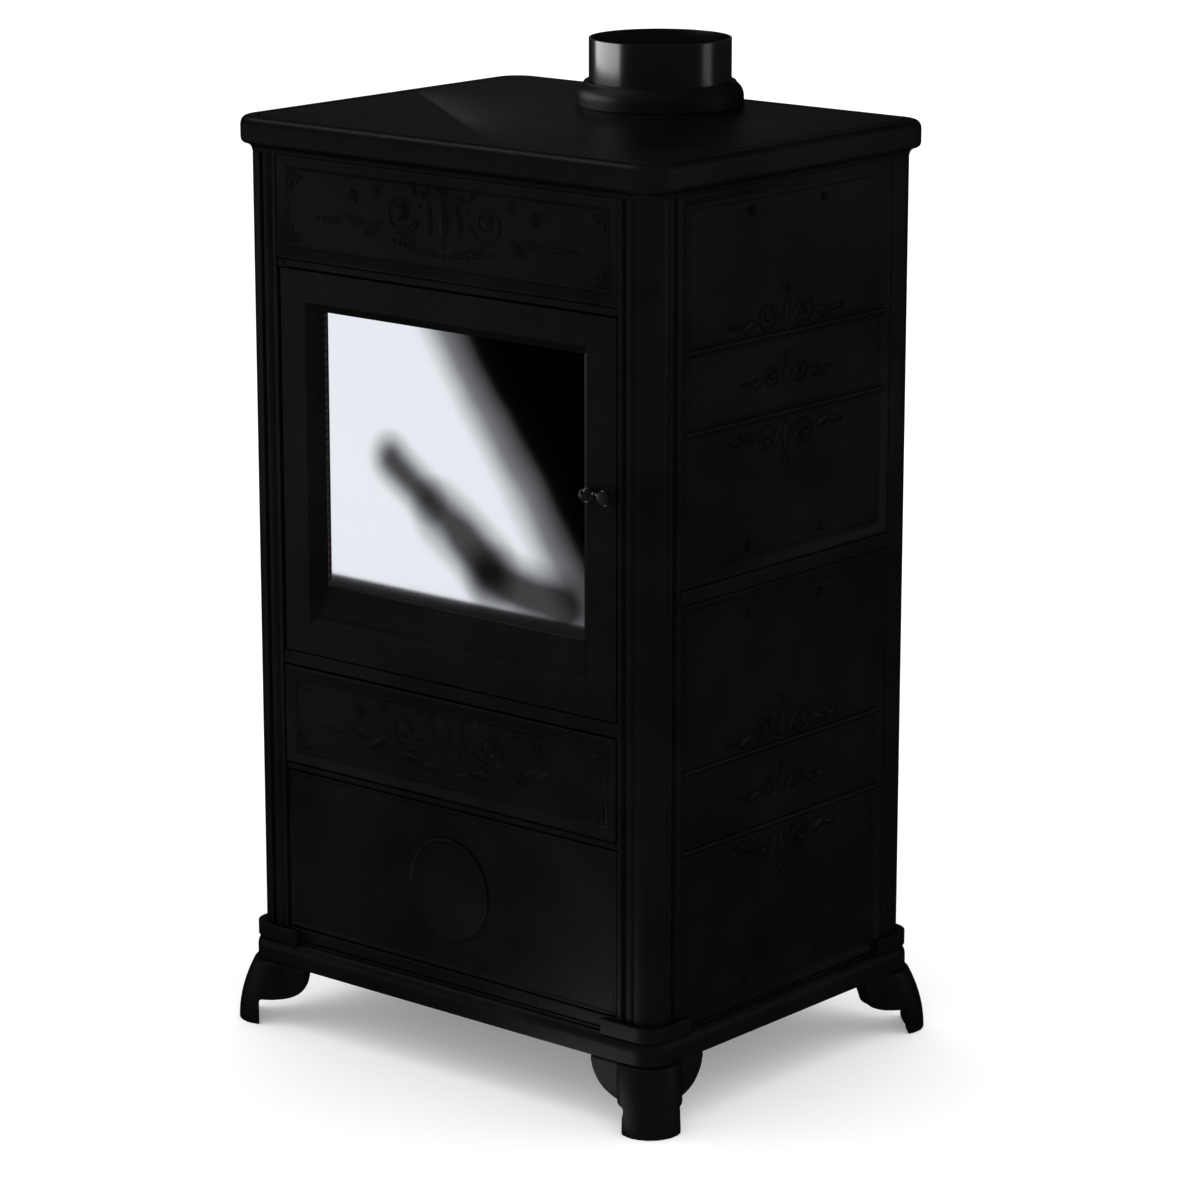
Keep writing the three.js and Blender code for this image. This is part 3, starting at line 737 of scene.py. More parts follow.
def arcPoints(centre, radius, start, stop, steps):    # angles in degrees, from +X towards +Y
    turns = [math.radians(start + (stop - start) * step / steps) for step in range(steps + 1)]
    return [(centre[0] + radius * math.cos(turn), centre[1] + radius * math.sin(turn)) for turn in turns]


def makePlinth(values):
    low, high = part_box("base_plate")
    plinth = mouldedSlab(low, high, values["corner"], *values["edge"], values["above"], values["below"])
    front, side, corner = values["blockFront"], values["blockSide"], values["blockCorner"]
    rounded = arcPoints((side - corner, front + corner), corner, -90, 0, 12)
    outline = [(0.213, front), *rounded, (side, -0.157), *values["blockBack"]]
    foot = high.z - values["eave"] - values["blockSink"]
    block = outlined([(x, y, foot) for x, y in outline], (0, 0, values["blockTop"] - foot))
    softened(block, values["blockRound"], 3, 40)
    blocks = [twin(block, Matrix.Diagonal((x, y, 1, 1))) for x, y in ((-1, 1), (1, -1), (-1, -1))]
    plinth = gathered(plinth, block, *blocks)
    return finished(plinth, "plinthCasting", "base_plate")


makePlinth(plinthValues)
print("plinth made")

# corner pillars
pillarValues = {"inner": 0.2303, "roundness": 0.0225, "flange": 0.011, "back": 0.170, "sink": 0.003,
                "frontReed": (0.237, 0.252), "sideReed": (0.190, 0.1765), "inside": 0.266}


def reedPoints(start, stop, rise, steps=10):    # the points of a shallow arc, as (along, out)
    shares = [step / steps for step in range(steps + 1)]
    return [(start + (stop - start) * share, rise * math.sin(math.pi * share)) for share in shares]


def makePillar(values, reeded):
    low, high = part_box("front_pillar_right")
    front, side = low.y, high.x
    sink = values["sink"] if reeded else 0
    centre = (side - values["roundness"], front + values["roundness"])
    points = [(values["inner"], front), (0.2352, front)]
    if reeded:
        points.append((0.2364, front + sink))
        points += [(x, front + sink - rise) for x, rise in reedPoints(*values["frontReed"], sink)]
    points.append((centre[0] - 0.0002, front + sink))
    points += arcPoints(centre, values["roundness"], -90, 0, 18)
    points.append((side - sink, centre[1] + 0.0002))
    if reeded:
        points += [(side - sink + rise, -y) for y, rise in reedPoints(*values["sideReed"], sink)]
        points.append((side - sink, -0.1758))
    points += [(side, -0.1748), (side, -values["back"]), (values["inside"], -values["back"]),
               (values["inside"], front + values["flange"]), (values["inner"], front + values["flange"])]
    return outlined([(x, y, low.z) for x, y in points], (0, 0, high.z - low.z))


pillarKinds = ((True, "front_pillar", "reededPillar", 1), (False, "rear_post", "plainPost", -1))
for reeded, first, endName, mirrorY in pillarKinds:
    pillar = makePillar(pillarValues, reeded)
    for hand, mirrorX in (("left", -1), ("right", 1)):
        copy = twin(pillar, Matrix.Diagonal((mirrorX, mirrorY, 1, 1)))
        finished(copy, endName + hand.title(), first + "_" + hand, 30)
    bpy.data.objects.remove(pillar)
print("pillars made")

# relief for the cast panels: scrolls, leaves, lyre and garland, joined into one pattern
reliefValues = {
    "scroll": dict(radius=0.0235, thickness=0.0062, turns=1.45, shrink=0.30, steps=40),
    "smallScroll": dict(radius=0.0105, thickness=0.0038, turns=1.3, shrink=0.32, steps=30),
    "leaf": dict(length=0.034, width=0.0125, height=0.0026),
    "petal": dict(length=0.011, width=0.0052, height=0.0018),
    "flat": 0.62,    # how much of its height a relief keeps
}


def makePatterns(values):
    return {"scroll": volute(**values["scroll"]), "curl": volute(**values["smallScroll"]),
            "leaf": leaf(**values["leaf"]), "petal": leaf(**values["petal"]),
            "bead": ball((0, 0, 0), (0.0024, 0.0024, 0.0024), 14, 8),
            "boss": ball((0, 0, 0), (0.0085, 0.0046, 0.0085), 28, 14)}


patterns = makePatterns(reliefValues)


def laid(*rows):    # each row: pattern, x, z, turn, size, turned over
    return [placed(*row) for row in rows]


def rosette(x, z, size=1.0, petals=6):
    parts = [placed("petal", x, z, 360 * turn / petals, size) for turn in range(petals)]
    return [*parts, placed("bead", x, z, 0, 1.25 * size)]


def mirrorPair(parts):
    return [*parts, *[twin(part, Matrix.Diagonal((-1, 1, 1, 1))) for part in parts]]


def flatten(obj):
    obj.data.transform(Matrix.Diagonal((1, reliefValues["flat"], 1, 1)))
    return obj


def panelRelief():    # about 300 wide and 80 high, the same on both sides of its middle
    half = laid(("scroll", 0.058, 0.004, 200), ("boss", 0.058, 0.004), ("curl", 0.101, -0.021, 30),
                ("curl", 0.090, 0.021, 150, 0.8, True), ("leaf", 0.082, -0.008, -32),
                ("leaf", 0.106, -0.014, 14, 0.95), ("leaf", 0.138, -0.012, -6, 0.75),
                ("leaf", 0.036, 0.022, 62, 0.55), ("leaf", 0.030, -0.028, -160, 0.75),
                ("leaf", 0.058, -0.0225, -170, 0.8), ("leaf", 0.0205, -0.018, 92, 1.05),
                ("curl", 0.0245, 0.0245, 80, 0.75), ("bead", 0.0330, 0.0115),
                ("bead", 0.1660, -0.0135, 0, 1.1), ("bead", 0.1740, -0.0140, 0, 0.8))
    half += laid(*[("bead", 0.012 + 0.0068 * step, -0.0350 + 0.0022 * (step / 4) ** 2, 0, 0.85)
                   for step in range(9)])
    middle = laid(("leaf", 0, -0.020, 90, 1.25), ("petal", 0, 0.0235, 90, 1.2),
                  ("petal", 0, 0.0235, 50, 1.05), ("petal", 0, 0.0235, 130, 1.05),
                  ("bead", 0, -0.0245, 0, 1.5), ("bead", 0, -0.0352, 0, 1.2))
    pair = [*rosette(0.1225, 0.0135, 0.75), *rosette(-0.1225, 0.0135, 0.75)]
    return flatten(gathered(*mirrorPair(half), *middle, *pair))


def cornerRelief():
    return flatten(gathered(*laid(("curl", 0, 0, 220, 0.8), ("petal", 0.001, 0.004, 100, 1.1),
                                  ("petal", 0.004, 0.000, 10, 1.1), ("bead", 0.0075, 0.0075))))


def sideRelief():    # a crest of two scrolls over a fan of leaves, for the side plates
    half = laid(("scroll", 0.034, 0.0, 200, 0.78), ("curl", 0.067, -0.010, 20, 0.95),
                ("leaf", 0.052, -0.004, -18), ("leaf", 0.078, -0.008, 10, 0.7),
                ("leaf", 0.010, -0.014, 60, 0.9), ("boss", 0.034, 0.0, 0, 0.62),
                ("bead", 0.0995, -0.0055, 0, 0.9))
    middle = laid(("leaf", 0, -0.016, 90, 1.15), ("bead", 0, -0.019, 0, 1.4), ("petal", 0, 0.0230, 90, 1.1),
                  ("petal", 0, 0.0215, 40), ("petal", 0, 0.0215, 140))
    return flatten(gathered(*mirrorPair(half), *middle))


panelPattern = panelRelief()
cornerPattern = cornerRelief()
sidePattern = sideRelief()
print("relief patterns made")

# decorated panel over the door, and the ash drawer's front
panelValues = {
    "border": [(0.0018, 0.0), (0.0014, -0.0005), (0.0068, -0.0020), (0.0009, 0.0), (0.0007, 0.0008),
               (0.0008, 0.0003), (0.0008, -0.0003), (0.0007, -0.0008), (0.0009, -0.0002)],
    "sunk": 0.0027,    # how far the field lies behind the border's face
    "round": 0.0011, "cornerInset": 0.020,
    "upperRaise": 0.007, "ashRaise": 0.008, "ashProud": 0.0010,    # the relief lies above the middle
}


def decoratedPanel(values, low, high, raised):
    panel = softened(block(low, high), values["round"], 3, 60)
    frontY = low[1]
    mouldFace(panel, lambda middle, normal: abs(middle.y - frontY) < 1e-5 and normal.y < -0.9,
              values["border"])
    field = frontY + values["sunk"]
    relief = twin(panelPattern, Matrix.Translation((0, field, (low.z + high.z) / 2 + raised)))
    inset = values["cornerInset"]
    corners = []
    for x, flipX in ((low[0] + inset, 1), (high[0] - inset, -1)):
        for z, flipZ in ((low[2] + inset, 1), (high[2] - inset, -1)):
            matrix = Matrix.Translation((x, field, z)) @ Matrix.Diagonal((flipX, 1, flipZ, 1))
            corners.append(twin(cornerPattern, matrix))
    return gathered(panel, relief, *corners)


def makePanels(values):
    low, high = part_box("upper_panel")
    finished(decoratedPanel(values, low, high, values["upperRaise"]), "upperPanelCasting", "upper_panel")
    low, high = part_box("ash_drawer_front")
    low.y += values["ashProud"]
    finished(decoratedPanel(values, low, high, values["ashRaise"]), "ashDrawerCasting", "ash_drawer_front")


makePanels(panelValues)
print("decorated panels made")

# side plates with two beads across, a crest over each pair, and the rail between the plates
sidePlateValues = {
    "border": [(0.0016, 0.0), (0.0014, -0.0005), (0.0058, -0.0023), (0.0012, -0.0002), (0.0036, 0.0),
               (0.0005, 0.0006), (0.0006, 0.0), (0.0005, -0.0006)],
    "sunk": 0.003, "round": 0.001, "beadRadius": 0.003, "fillet": 0.0009, "filletOff": 0.0052,
    "upperBeads": (0.707, 0.788), "lowerBeads": (0.280, 0.363),
    "crestAbove": 0.021, "crestBelow": 0.026, "crestSize": 0.92, "bandSize": 0.72,
    "bossAside": 0.118, "bossInset": 0.026, "bossSize": 0.5, "railRound": 0.0022,
}


def sideMatrix(x, z, size, turnedOver=False):    # a pattern facing -Y is turned to face +X
    matrix = Matrix.Translation((x, 0, z)) @ Matrix.Rotation(math.pi / 2, 4, "Z")
    return matrix @ Matrix.Diagonal((size, 1.35, -size if turnedOver else size, 1))


def makeSidePlate(values, node, beads):
    low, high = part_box(node)
    face, field = high.x, high.x - values["sunk"]
    plate = softened(block(low, high), values["round"], 3, 60)
    mouldFace(plate, lambda middle, normal: abs(middle.x - face) < 1e-5 and normal.x > 0.9, values["border"])
    extras = []
    off = values["filletOff"]
    for z in beads:
        extras.append(rod((field, low.y + 0.006, z), (field, high.y - 0.006, z), values["beadRadius"], 20))
        extras += [rod((field, low.y + 0.008, line), (field, high.y - 0.008, line), values["fillet"], 8)
                   for line in (z - off, z + off)]
    lowBead, highBead = beads
    crest = values["crestSize"]
    extras += [twin(sidePattern, sideMatrix(field, highBead + values["crestAbove"], crest)),
               twin(sidePattern, sideMatrix(field, lowBead - values["crestBelow"], crest, True)),
               twin(sidePattern, sideMatrix(field, (lowBead + highBead) / 2, values["bandSize"]))]
    for y in (-values["bossAside"], values["bossAside"]):
        for z in (low.z + values["bossInset"], high.z - values["bossInset"]):
            matrix = sideMatrix(field, z, values["bossSize"]) @ Matrix.Translation((y, 0, 0))
            extras.append(twin(patterns["boss"], matrix))
    return gathered(plate, *extras)


def addSides(values):
    plates = {"upper_side_plate": makeSidePlate(values, "upper_side_plate_right", values["upperBeads"]),
              "lower_side_plate": makeSidePlate(values, "lower_side_plate_right", values["lowerBeads"])}
    low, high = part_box("side_rail_right")
    plates["side_rail"] = softened(block(low, high), values["railRound"], 4, 60)
    for node, plate in plates.items():
        left = twin(plate, Matrix.Diagonal((-1, 1, 1, 1)))
        for hand, piece in (("right", plate), ("left", left)):
            finished(piece, joinedName(node) + "Cast" + hand.title(), node + "_" + hand)


addSides(sidePlateValues)
print("side plates made")

# front frame: a plate with three openings, the rails before it and the hinge lugs
frameValues = {
    # each opening's half width, low and high
    "openings": [(0.198, 0.446, 0.806), (0.206, 0.296, 0.400), (0.211, 0.112, 0.285)],
    "rails": [(0.8275, 0.8355), (0.4035, 0.4185), (0.2880, 0.2945), (0.0980, 0.1110)],
    "railHalf": 0.2299, "railFront": -0.2115, "railRound": 0.0012, "plateThick": 0.0082,
    "latchSlot": ((0.213, 0.636), (0.227, 0.680)),
    "hinge": (-0.223, -0.2075), "lugRadius": 0.0065, "pinHole": 0.0033,
    "lugs": [(0.8275, 0.8355), (0.4110, 0.4185)],
}


def makeFrontFrame(values):
    low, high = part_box("front_frame")
    plateFront = high.y - values["plateThick"]
    plate = block((low.x, plateFront, low.z), high)
    for half, bottom, top in values["openings"]:
        carved(plate, block((-half, plateFront - 0.01, bottom), (half, high.y + 0.01, top)))
    (slotLeft, slotLow), (slotRight, slotHigh) = values["latchSlot"]
    carved(plate, block((slotLeft, plateFront - 0.01, slotLow), (slotRight, high.y + 0.01, slotHigh)))
    softened(plate, 0.0007, 2, 60)
    half = values["railHalf"]
    rails = [softBlock((-half, values["railFront"], bottom), (half, plateFront + 0.0005, top),
                       values["railRound"], 3)
             for bottom, top in values["rails"]]
    x, y = values["hinge"]
    lugs = [softened(rod((x, y, bottom), (x, y, top), values["lugRadius"], 40), 0.0006, 2, 60)
            for bottom, top in values["lugs"]]
    for rail, lug in zip(rails, lugs):    # the first two rails carry the hinge lugs
        fused(rail, lug)
        carved(rail, rod((x, y, 0.4), (x, y, 0.85), values["pinHole"], 24))
    finished(gathered(plate, *rails), "frontFrameCasting", "front_frame")


makeFrontFrame(frameValues)
print("front frame made")

# fire door: a slab with a half-round hinge edge and a deep bevelled window
doorValues = {
    "thickness": 0.010, "hingeRound": 0.0049, "soft": 0.0012,
    "lip": (0.1914, 0.4516, 0.7944), "throat": (0.183, 0.462, 0.785), "sight": (0.176, 0.493, 0.785),
    "throatDepth": 0.0055, "rim": (0.193, 0.472, 0.801),
    "ropeOuter": (0.2108, 0.4287, 0.8173), "ropeInner": (0.2022, 0.4373, 0.8087),
    "latch": (0.2195, 0.648), "latchHole": 0.005, "pinHole": 0.0031,
}


def taperedBlock(near, nearY, far, farY):    # each end is (half width, low, high)
    obj = block((-near[0], nearY, near[1]), (near[0], farY, near[2]))
    edit(obj, "VERT")
    selectPoints(obj, lambda co: abs(co.y - farY) < 1e-6)
    middle = (near[1] + near[2]) / 2
    bpy.ops.transform.resize(value=(far[0] / near[0], 1, (far[2] - far[1]) / (near[2] - near[1])),
                             center_override=(0, farY, middle))
    bpy.ops.transform.translate(value=(0, 0, (far[1] + far[2]) / 2 - middle))
    leaveEdit()
    return obj


def frameRing(outer, inner, nearY, farY):
    ring = block((-outer[0], nearY, outer[1]), (outer[0], farY, outer[2]))
    return carved(ring, block((-inner[0], nearY - 0.01, inner[1]), (inner[0], farY + 0.01, inner[2])))


def makeFireDoor(values):
    low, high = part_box("fire_door")
    front, back = low.y, low.y + values["thickness"]
    slab = block(low, (high.x, back, high.z))
    roundEdges(slab, lambda a, b: abs(a.x - low.x) + abs(b.x - low.x) < 1e-5 and abs(a.z - b.z) > 0.1,
               values["hingeRound"], 10)
    half, bottom, top = values["rim"]
    fused(slab, block((-half, back - 0.003, bottom), (half, high.y, top)))
    throatY = front + values["throatDepth"]
    carved(slab, taperedBlock(values["lip"], front - 0.0004, values["throat"], throatY),
           taperedBlock(values["throat"], throatY - 0.0001, values["sight"], high.y + 0.0001))
    softened(slab, values["soft"], 3, 30)
    carved(slab, frameRing(values["ropeOuter"], values["ropeInner"], back - 0.006, back + 0.001))
    latchX, latchZ = values["latch"]
    carved(slab, rod((latchX, front - 0.001, latchZ), (latchX, back + 0.001, latchZ),
                     values["latchHole"], 40))
    x, y = frameValues["hinge"]
    for bottom, top in ((low.z - 0.001, low.z + 0.014), (high.z - 0.014, high.z + 0.001)):
        carved(slab, rod((x, y, bottom), (x, y, top), values["pinHole"], 24))
    return finished(slab, "fireDoorCasting", "fire_door", 30)


makeFireDoor(doorValues)


def makeDoorRope():
    low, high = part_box("door_rope_seal")
    ring = frameRing((high.x, low.z, high.z), (high.x - 0.008, low.z + 0.008, high.z - 0.008), low.y, high.y)
    softened(ring, 0.0026, 4, 60)
    finished(ring, "doorRope", "door_rope_seal")
    low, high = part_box("glass_gasket")
    gasket = frameRing((high.x, low.z, high.z), (0.1765, 0.4925, 0.7855), low.y, high.y)
    softened(gasket, 0.0005, 2, 60)
    finished(gasket, "glassTape", "glass_gasket")


makeDoorRope()


def makeDoorGlass():
    low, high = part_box("door_glass")
    pane = softBlock(low, high, 0.0007, 3)
    finished(pane, "doorPane", "door_glass")


makeDoorGlass()
print("fire door made")

# clips that hold the glass, and the hinge pins
clipValues = {"width": 0.018, "thickness": 0.002, "reach": 0.0148, "screwRadius": 0.0034, "slot": 0.0009,
              "corner": 0.0035, "glassBack": -0.1923, "shankStart": -0.1982,
              "side": (0.187, 0.650), "topRow": 0.796, "bottomRow": 0.480}    # where the screws stand


def makeClip(values):    # at the origin, reaching towards +X, its screw along Y from the door's back
    glassBack, shankStart = values["glassBack"], values["shankStart"]
    half = values["width"] / 2
    plate = block((-half * 0.55, glassBack, -half), (values["reach"], glassBack + values["thickness"], half))
    roundEdges(plate, lambda a, b: abs(a.y - b.y) > 0.001, values["corner"], 5)
    softened(plate, 0.0004, 2, 50)
    top = glassBack + values["thickness"]
    shank = rod((0, shankStart, 0), (0, top, 0), values["screwRadius"] * 0.8, 20)
    head = rod((0, top - 0.0002, 0), (0, top + 0.0015, 0), values["screwRadius"], 28)
    carved(head, block((-0.006, top + 0.0008, -values["slot"] / 2), (0.006, top + 0.003, values["slot"] / 2)))
    softened(head, 0.0003, 2, 50)
    return gathered(plate, shank, head)


def addClips(values):
    clip = makeClip(values)
    for node in [node for node in frame["nodes"] if node.startswith("glass_clip")]:
        low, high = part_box(node)
        middle = (low + high) / 2
        onTop, onSide = "top" in node, abs(middle.x) > 0.17
        hand = -1 if middle.x < 0 else 1
        if onSide:
            place = (hand * values["side"][0], values["side"][1])
            turn = 0 if hand < 0 else 180
        else:
            place = (middle.x, values["topRow"] if onTop else values["bottomRow"])
            turn = -90 if onTop else 90
        matrix = Matrix.Translation((place[0], 0, place[1])) @ Matrix.Rotation(-math.radians(turn), 4, "Y")
        finished(twin(clip, matrix), joinedName(node), node)
    bpy.data.objects.remove(clip)


addClips(clipValues)


def addHingePins():
    for node in ("hinge_pin_upper", "hinge_pin_lower"):
        low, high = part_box(node)
        x, y = frameValues["hinge"]
        pin = softened(rod((x, y, low.z), (x, y, high.z), 0.0028, 28), 0.0006, 2, 50)
        finished(pin, joinedName(node), node)


addHingePins()

# latch: a small hub with a lever and a ball, and the tongue behind the frame
latchValues = {
    "x": 0.2195, "z": 0.648, "hub": 0.008, "ball": 0.0085, "ballOut": 0.0088, "reach": 0.0205,
    "hubSteps": [(0.0008, 0.0009), (0.0012, 0.0005), (0.0022, 0.0001)],
    "tongueHalf": 0.0055, "tongueRound": 0.004, "tongueHub": 0.006,
}


def makeLatch(values):
    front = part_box("fire_door")[0].y
    x, z = values["x"], values["z"]
    hub = rod((x, front - 0.0105, z), (x, front - 0.0003, z), values["hub"], 40)
    mouldFace(hub, lambda middle, normal: normal.y < -0.9, values["hubSteps"])
    flange = rod((x, front - 0.0022, z), (x, front - 0.0003, z), values["hub"] + 0.0014, 40)
    softened(flange, 0.0006, 2, 50)
    ballX, ballY = x - values["reach"], front - values["ballOut"]
    arm = rod((x, front - 0.0072, z), (ballX + 0.003, ballY, z), 0.0043, 20, 0.0031)
    knob = ball((ballX, ballY, z), (values["ball"],) * 3, 36, 20)
    neck = rod((ballX + 0.0098, front - 0.0085, z), (ballX + 0.0072, front - 0.0087, z), 0.0047, 28)
    softened(neck, 0.0005)
    spindle = rod((x, front - 0.001, z), (x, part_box("latch_lever")[1].y, z), 0.0045, 24)
    finished(gathered(hub, flange, arm, knob, neck, spindle), "latchHandle", "latch_lever")
    low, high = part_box("latch_tongue")
    tongue = block((x - values["tongueHalf"], low.y, z), (x + values["tongueHalf"], high.y, high.z))
    roundEdges(tongue, lambda a, b: abs(a.y - b.y) > 0.001 and a.z > z + 0.01, values["tongueRound"], 5)
    fused(tongue, rod((x, low.y, z), (x, high.y, z), values["tongueHub"], 32))
    softened(tongue, 0.0005, 2, 50)
    finished(tongue, "latchTongueSteel", "latch_tongue")


makeLatch(latchValues)
print("latch, clips and pins made")

# storage drawer's front: a plain panel with a round medallion
storageValues = {
    "edge": [(0.0016, 0.0), (0.0012, -0.0006), (0.0012, -0.0004)],
    "discRadius": 0.055, "disc": 0.0015,
    "discSteps": [(0.0010, 0.0004), (0.0022, 0.0002), (0.0012, -0.0010), (0.0012, -0.0002)],
}


def makeStorageFront(values):
    low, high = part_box("storage_drawer_front")
    face = low.y + 0.003
    panel = softened(block((low.x, face, low.z), high), 0.0012, 3, 60)
    mouldFace(panel, lambda middle, normal: abs(middle.y - face) < 1e-5 and normal.y < -0.9, values["edge"])
    middle = (low.z + high.z) / 2
    disc = rod((0, face + 0.003, middle), (0, face - values["disc"], middle), values["discRadius"], 96)
    mouldFace(disc, lambda spot, normal: normal.y < -0.9, values["discSteps"])
    front = gathered(panel, disc)
    finished(front, "storageDrawerCasting", "storage_drawer_front")


makeStorageFront(storageValues)

# flue: the collar and the enamelled pipe in it
flueValues = {
    "collar": [(0.0756, 0.0003), (0.0876, 0.0003), (0.0880, 0.0008), (0.0880, 0.0085), (0.0878, 0.0110),
               (0.0872, 0.0140), (0.0862, 0.0165), (0.0848, 0.0188), (0.0830, 0.0208), (0.0814, 0.0222),
               (0.0805, 0.0232), (0.0801, 0.0241), (0.0797, 0.0248), (0.0790, 0.0250), (0.0762, 0.0250),
               (0.0756, 0.0244)],
    "wall": 0.002, "radius": 0.075,
}


def makeFlue(values):
    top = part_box("top_plate")[1].z
    collar = turned([(radius, top + up) for radius, up in values["collar"]], (0, flueBack), 96)
    finished(collar, "flueCollarCasting", "flue_collar", 30)
    low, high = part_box("flue_pipe")
    outer, inner = values["radius"], values["radius"] - values["wall"]
    lip = 0.0006
    profile = [(inner, low.z), (outer, low.z), (outer, high.z - lip), (outer - 0.3 * lip, high.z - 0.3 * lip),
               (outer - lip, high.z), (inner + lip, high.z), (inner, high.z - lip)]
    pipe = turned(profile, (0, flueBack), 128)
    finished(pipe, "fluePipeEnamel", "flue_pipe", 30)


makeFlue(flueValues)
print("drawer front and flue made")

# feet: a hollow toe that flares out over the corner, with a lobed wing along each side
footValues = {
    "legRadius": 0.033, "legMiddle": (0.252, -0.1895), "flare": 0.022, "flareHeight": 0.075,
    "hollowRadius": 0.022, "hollowIn": 0.009, "hollowTop": 0.052, "top": 0.0687,
    "lobe": (0.045, 0.041), "frontWing": 0.200, "sideWing": 0.137, "wingProud": 0.007, "wingThick": 0.010,
    "wingEnd": [(0.051, 0.0262), (0.056, 0.0222), (0.060, 0.017), (0.071, 0.012)],
    "toeDepth": 0.021, "toeTop": 0.0275,    # the toe is a flat tongue, thin from corner to middle
    "hollowBox": (-0.056, 0.004, 0.045, 0.03),    # inner and outer face, half width, top
    "rodPlace": (0.252, -0.184), "rodHole": 0.0055,
    "grain": 0.00135,
}


def flaredLeg(values, radius, inset, low, high, rings=9):
    x, y = values["legMiddle"]
    bpy.ops.mesh.primitive_circle_add(vertices=44, radius=radius, fill_type="NGON", location=(x, y, low))
    leg = settle(bpy.context.object)
    edit(leg, "FACE")
    selectAll()
    step = (high - low) / rings
    for ring in range(rings):
        extrude((0, 0, step))
    faceOutwards()
    bpy.ops.mesh.select_mode(type="VERT")
    for ring in range(rings + 1):
        height = low + ring * step
        out = (values["flare"] * (1 - (height / values["flareHeight"]) ** 2) - inset) / math.sqrt(2)
        selectPoints(leg, lambda co: abs(co.z - height) < step / 3)
        bpy.ops.transform.translate(value=(out, -out, 0))
    leaveEdit()
    return leg


def wingOutline(values, start):    # (along, height)
    wide, drop = values["lobe"]
    top = values["top"]
    points = [(start, top)]
    for turn in range(6, 91, 6):
        angle = math.radians(turn)
        points.append((start + wide * (1 - math.cos(angle)), top - drop * math.sin(angle)))
    end = [(start + along, height) for along, height in values["wingEnd"]]
    return [*points, *end, (end[-1][0], top)]


def makeFoot(values):
    front, side = -0.2125, 0.275
    proud, thick = values["wingProud"], values["wingThick"]
    leg = flaredLeg(values, values["legRadius"], 0, 0, values["top"])
    frontLine, sideLine = [wingOutline(values, values[name]) for name in ("frontWing", "sideWing")]
    frontWing = outlined([(x, front - proud, z) for x, z in frontLine], (0, thick, 0))
    sideWing = outlined([(side + proud, -y, z) for y, z in sideLine], (-thick, 0, 0))
    fused(leg, frontWing, sideWing)
    x, y = values["legMiddle"]
    inner, outer, half, hollowHigh = values["hollowBox"]
    toeFace = values["flare"] + values["legRadius"] - values["toeDepth"]
    inside = block((inner, -half, -0.03), (outer, half, hollowHigh))
    behindToe = block((inner, -half, -0.03), (toeFace, half, values["toeTop"]))
    for cutter in (inside, behindToe):
        cutter.data.transform(Matrix.Translation((x, y, 0)) @ Matrix.Rotation(-math.pi / 4, 4, "Z"))
    hollow = flaredLeg(values, values["hollowRadius"], values["hollowIn"], -0.001, values["hollowTop"])
    carved(leg, hollow, inside, behindToe)
    modified(leg, "REMESH", mode="VOXEL", voxel_size=values["grain"], adaptivity=0.0)
    modified(leg, "SMOOTH", factor=0.5, iterations=5)
    return carved(leg, rod((*values["rodPlace"], -0.01), (*values["rodPlace"], 0.09), values["rodHole"], 32))


def addFeet(values):
    foot = makeFoot(values)
    for node in ("foot_front_left", "foot_front_right", "foot_rear_left", "foot_rear_right"):
        mirror = Matrix.Diagonal((-1 if "left" in node else 1, -1 if "rear" in node else 1, 1, 1))
        finished(twin(foot, mirror), joinedName(node), node, 45)
    bpy.data.objects.remove(foot)


addFeet(footValues)
print("feet made")

# back plate with air slots, the slide over them, and the heat shield on its spacers
backValues = {
    "plateThick": 0.0082, "panel": [(0.030, 0.0), (0.0012, -0.0008), (0.0030, 0.0), (0.0012, 0.0008)],
    "guides": [(0.306, 0.311), (0.378, 0.383)], "guideSpan": (-0.110, 0.125), "guideProud": 0.005,
    "slots": (-0.0525, -0.0175, 0.0175, 0.0525), "slotWidth": 0.016, "slotHeight": (0.322, 0.366),
    "slotCorner": 0.0060,
}


def slotCutters(values, nearY, farY):
    low, high = values["slotHeight"]
    cutters = []
    for x in values["slots"]:
        cutter = block((x - values["slotWidth"] / 2, nearY, low), (x + values["slotWidth"] / 2, farY, high))
        roundEdges(cutter, lambda a, b: abs(a.y - b.y) > 0.001, values["slotCorner"])
        cutters.append(cutter)
    return cutters


def makeBack(values):
    low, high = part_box("back_plate")
    face = low.y + values["plateThick"]
    plate = softened(block(low, (high.x, face, high.z)), 0.0008, 2, 60)
    mouldFace(plate, lambda middle, normal: normal.y > 0.9, values["panel"])
    carved(plate, *slotCutters(values, low.y - 0.01, face + 0.01))
    left, right = values["guideSpan"]
    guides = [softBlock((left, face - 0.0005, bottom), (right, face + values["guideProud"], top), 0.0009, 3)
              for bottom, top in values["guides"]]
    finished(gathered(plate, *guides), "backPlateCasting", "back_plate")


makeBack(backValues)

airSlideValues = {    # sheet and strap: left, right, low, high
    "thickness": 0.003, "sheet": (-0.090, 0.090, 0.313, 0.376), "strap": (-0.222, -0.088, 0.340, 0.350),
    "knobPlace": (-0.216, 0.345), "stalk": 0.0035, "knob": 0.0070,
}


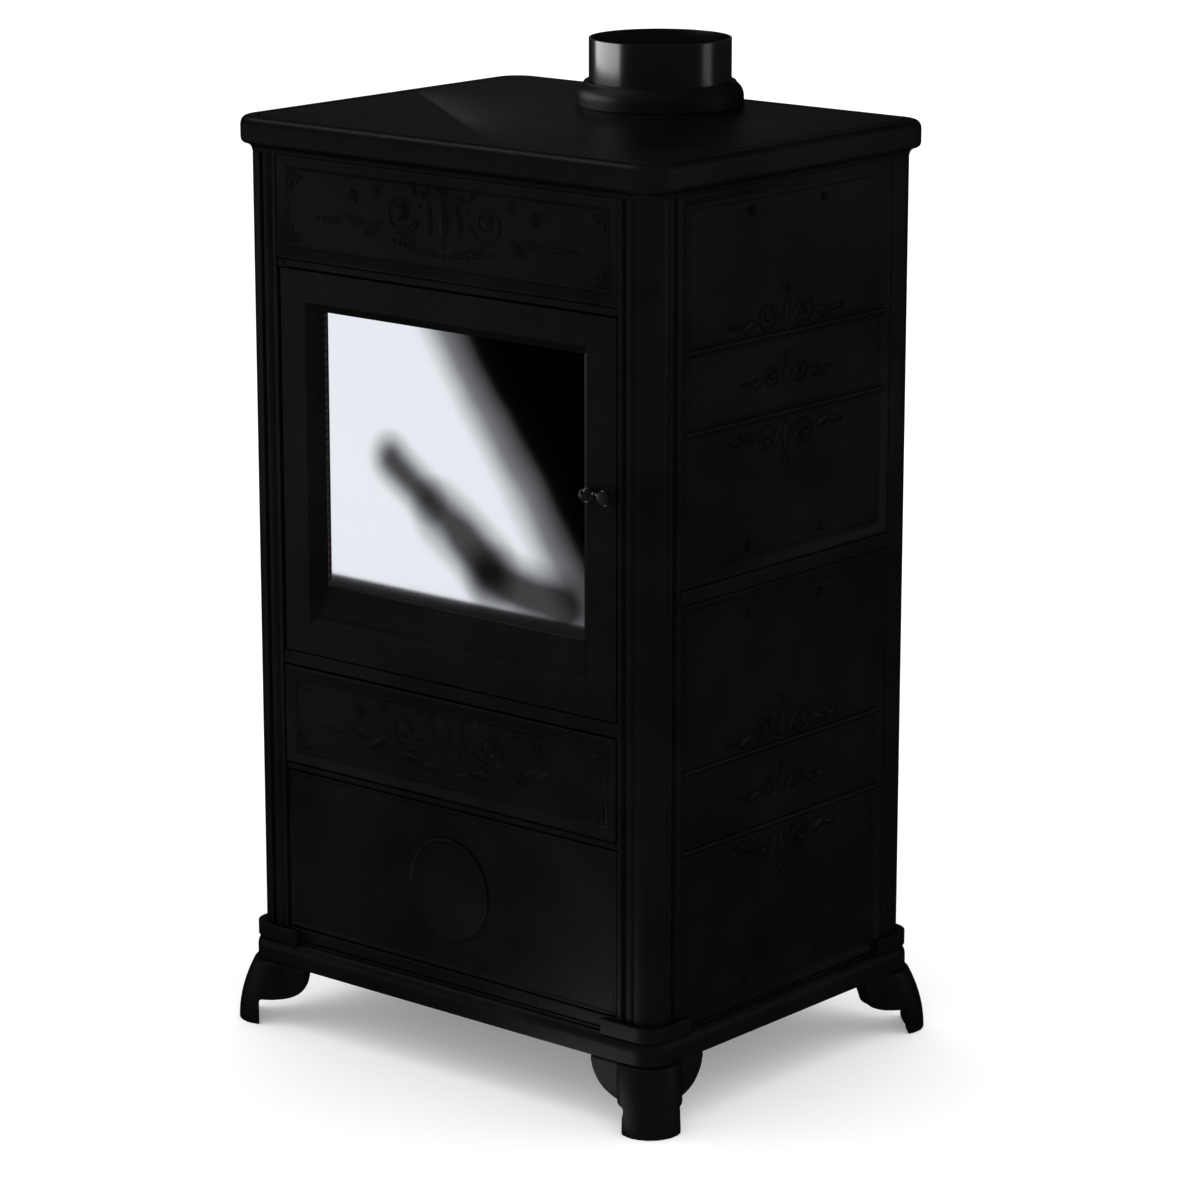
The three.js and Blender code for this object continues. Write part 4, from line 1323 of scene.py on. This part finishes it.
def makeAirSlide(values):
    low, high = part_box("air_slide")
    near, far = low.y, low.y + values["thickness"]
    left, right, bottom, top = values["sheet"]
    sheet = softened(block((left, near, bottom), (right, far, top)), 0.0005, 2, 60)
    carved(sheet, *slotCutters(backValues, near - 0.01, far + 0.01))
    left, right, bottom, top = values["strap"]
    strap = softBlock((left, near, bottom), (right, far, top), 0.0005)
    x, z = values["knobPlace"]
    stalk = rod((x, far - 0.0005, z), (x, high.y - 0.009, z), values["stalk"], 24)
    knob = ball((x, high.y - 0.0072, z), (values["knob"],) * 3, 32, 18)
    finished(gathered(sheet, strap, stalk, knob), "airSlideSheet", "air_slide")


makeAirSlide(airSlideValues)

shieldValues = {
    "sheet": 0.0015, "corner": 0.010,
    "ribs": (0.52, 0.60, 0.68, 0.76, 0.84), "ribHalf": 0.175, "ribRadius": 0.0011,
    "spacers": [(-0.200, 0.470), (0.200, 0.470), (-0.200, 0.890), (0.200, 0.890)], "spacerRadius": 0.009,
}


def hexHead(x, y, z, radius, height):    # a bolt head facing +Y on its washer
    washer = softened(rod((x, y, z), (x, y + 0.0010, z), radius * 1.25, 28), 0.0002, 1, 50)
    head = softened(rod((x, y + 0.0010, z), (x, y + 0.0010 + height, z), radius, 6), 0.0004, 2, 50)
    return gathered(washer, head)


def makeHeatShield(values):
    low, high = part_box("rear_heat_shield")
    sheetFar = high.y
    sheetNear = sheetFar - values["sheet"]
    sheet = block((low.x, sheetNear, low.z), (high.x, sheetFar, high.z))
    roundEdges(sheet, lambda a, b: abs(a.y - b.y) > 0.001, values["corner"])
    softened(sheet, 0.0004, 2, 60)
    ribY, half = sheetFar - 0.0002, values["ribHalf"]
    ribs = [rod((-half, ribY, z), (half, ribY, z), values["ribRadius"], 12) for z in values["ribs"]]
    fixings = []
    for x, z in values["spacers"]:
        fixings.append(rod((x, low.y, z), (x, sheetNear + 0.0005, z), values["spacerRadius"], 32))
        fixings.append(hexHead(x, ribY, z, 0.0055, 0.0035))
    finished(gathered(sheet, *ribs, *fixings), "rearShieldSheet", "rear_heat_shield")


makeHeatShield(shieldValues)
print("back made")

# what is inside keeps its own shape, with softened edges
insideSoft = {    # node: width of the softened edge
    "baffle_plate": 0.0010, "firebox_floor": 0.0008, "grate": 0.0012, "log_retainer": 0.0012,
    "ash_floor": 0.0007, "ash_pan": 0.0005, "storage_drawer_box": 0.0005, "storage_drawer_base": 0.0004,
}
insideKinds = {"fire_brick": 0.0015, "storage_runner": 0.0006, "tie_rod": 0.0004}    # nodes that begin so
for nodeName in frame["nodes"]:
    for kind, width in insideKinds.items():
        if nodeName.startswith(kind):
            insideSoft[nodeName] = width
for nodeName, width in insideSoft.items():
    sameAs(nodeName, joinedName(nodeName) + "Made", width)
print("inside made")

for pattern in (*patterns.values(), panelPattern, cornerPattern, sidePattern):
    bpy.data.objects.remove(pattern)
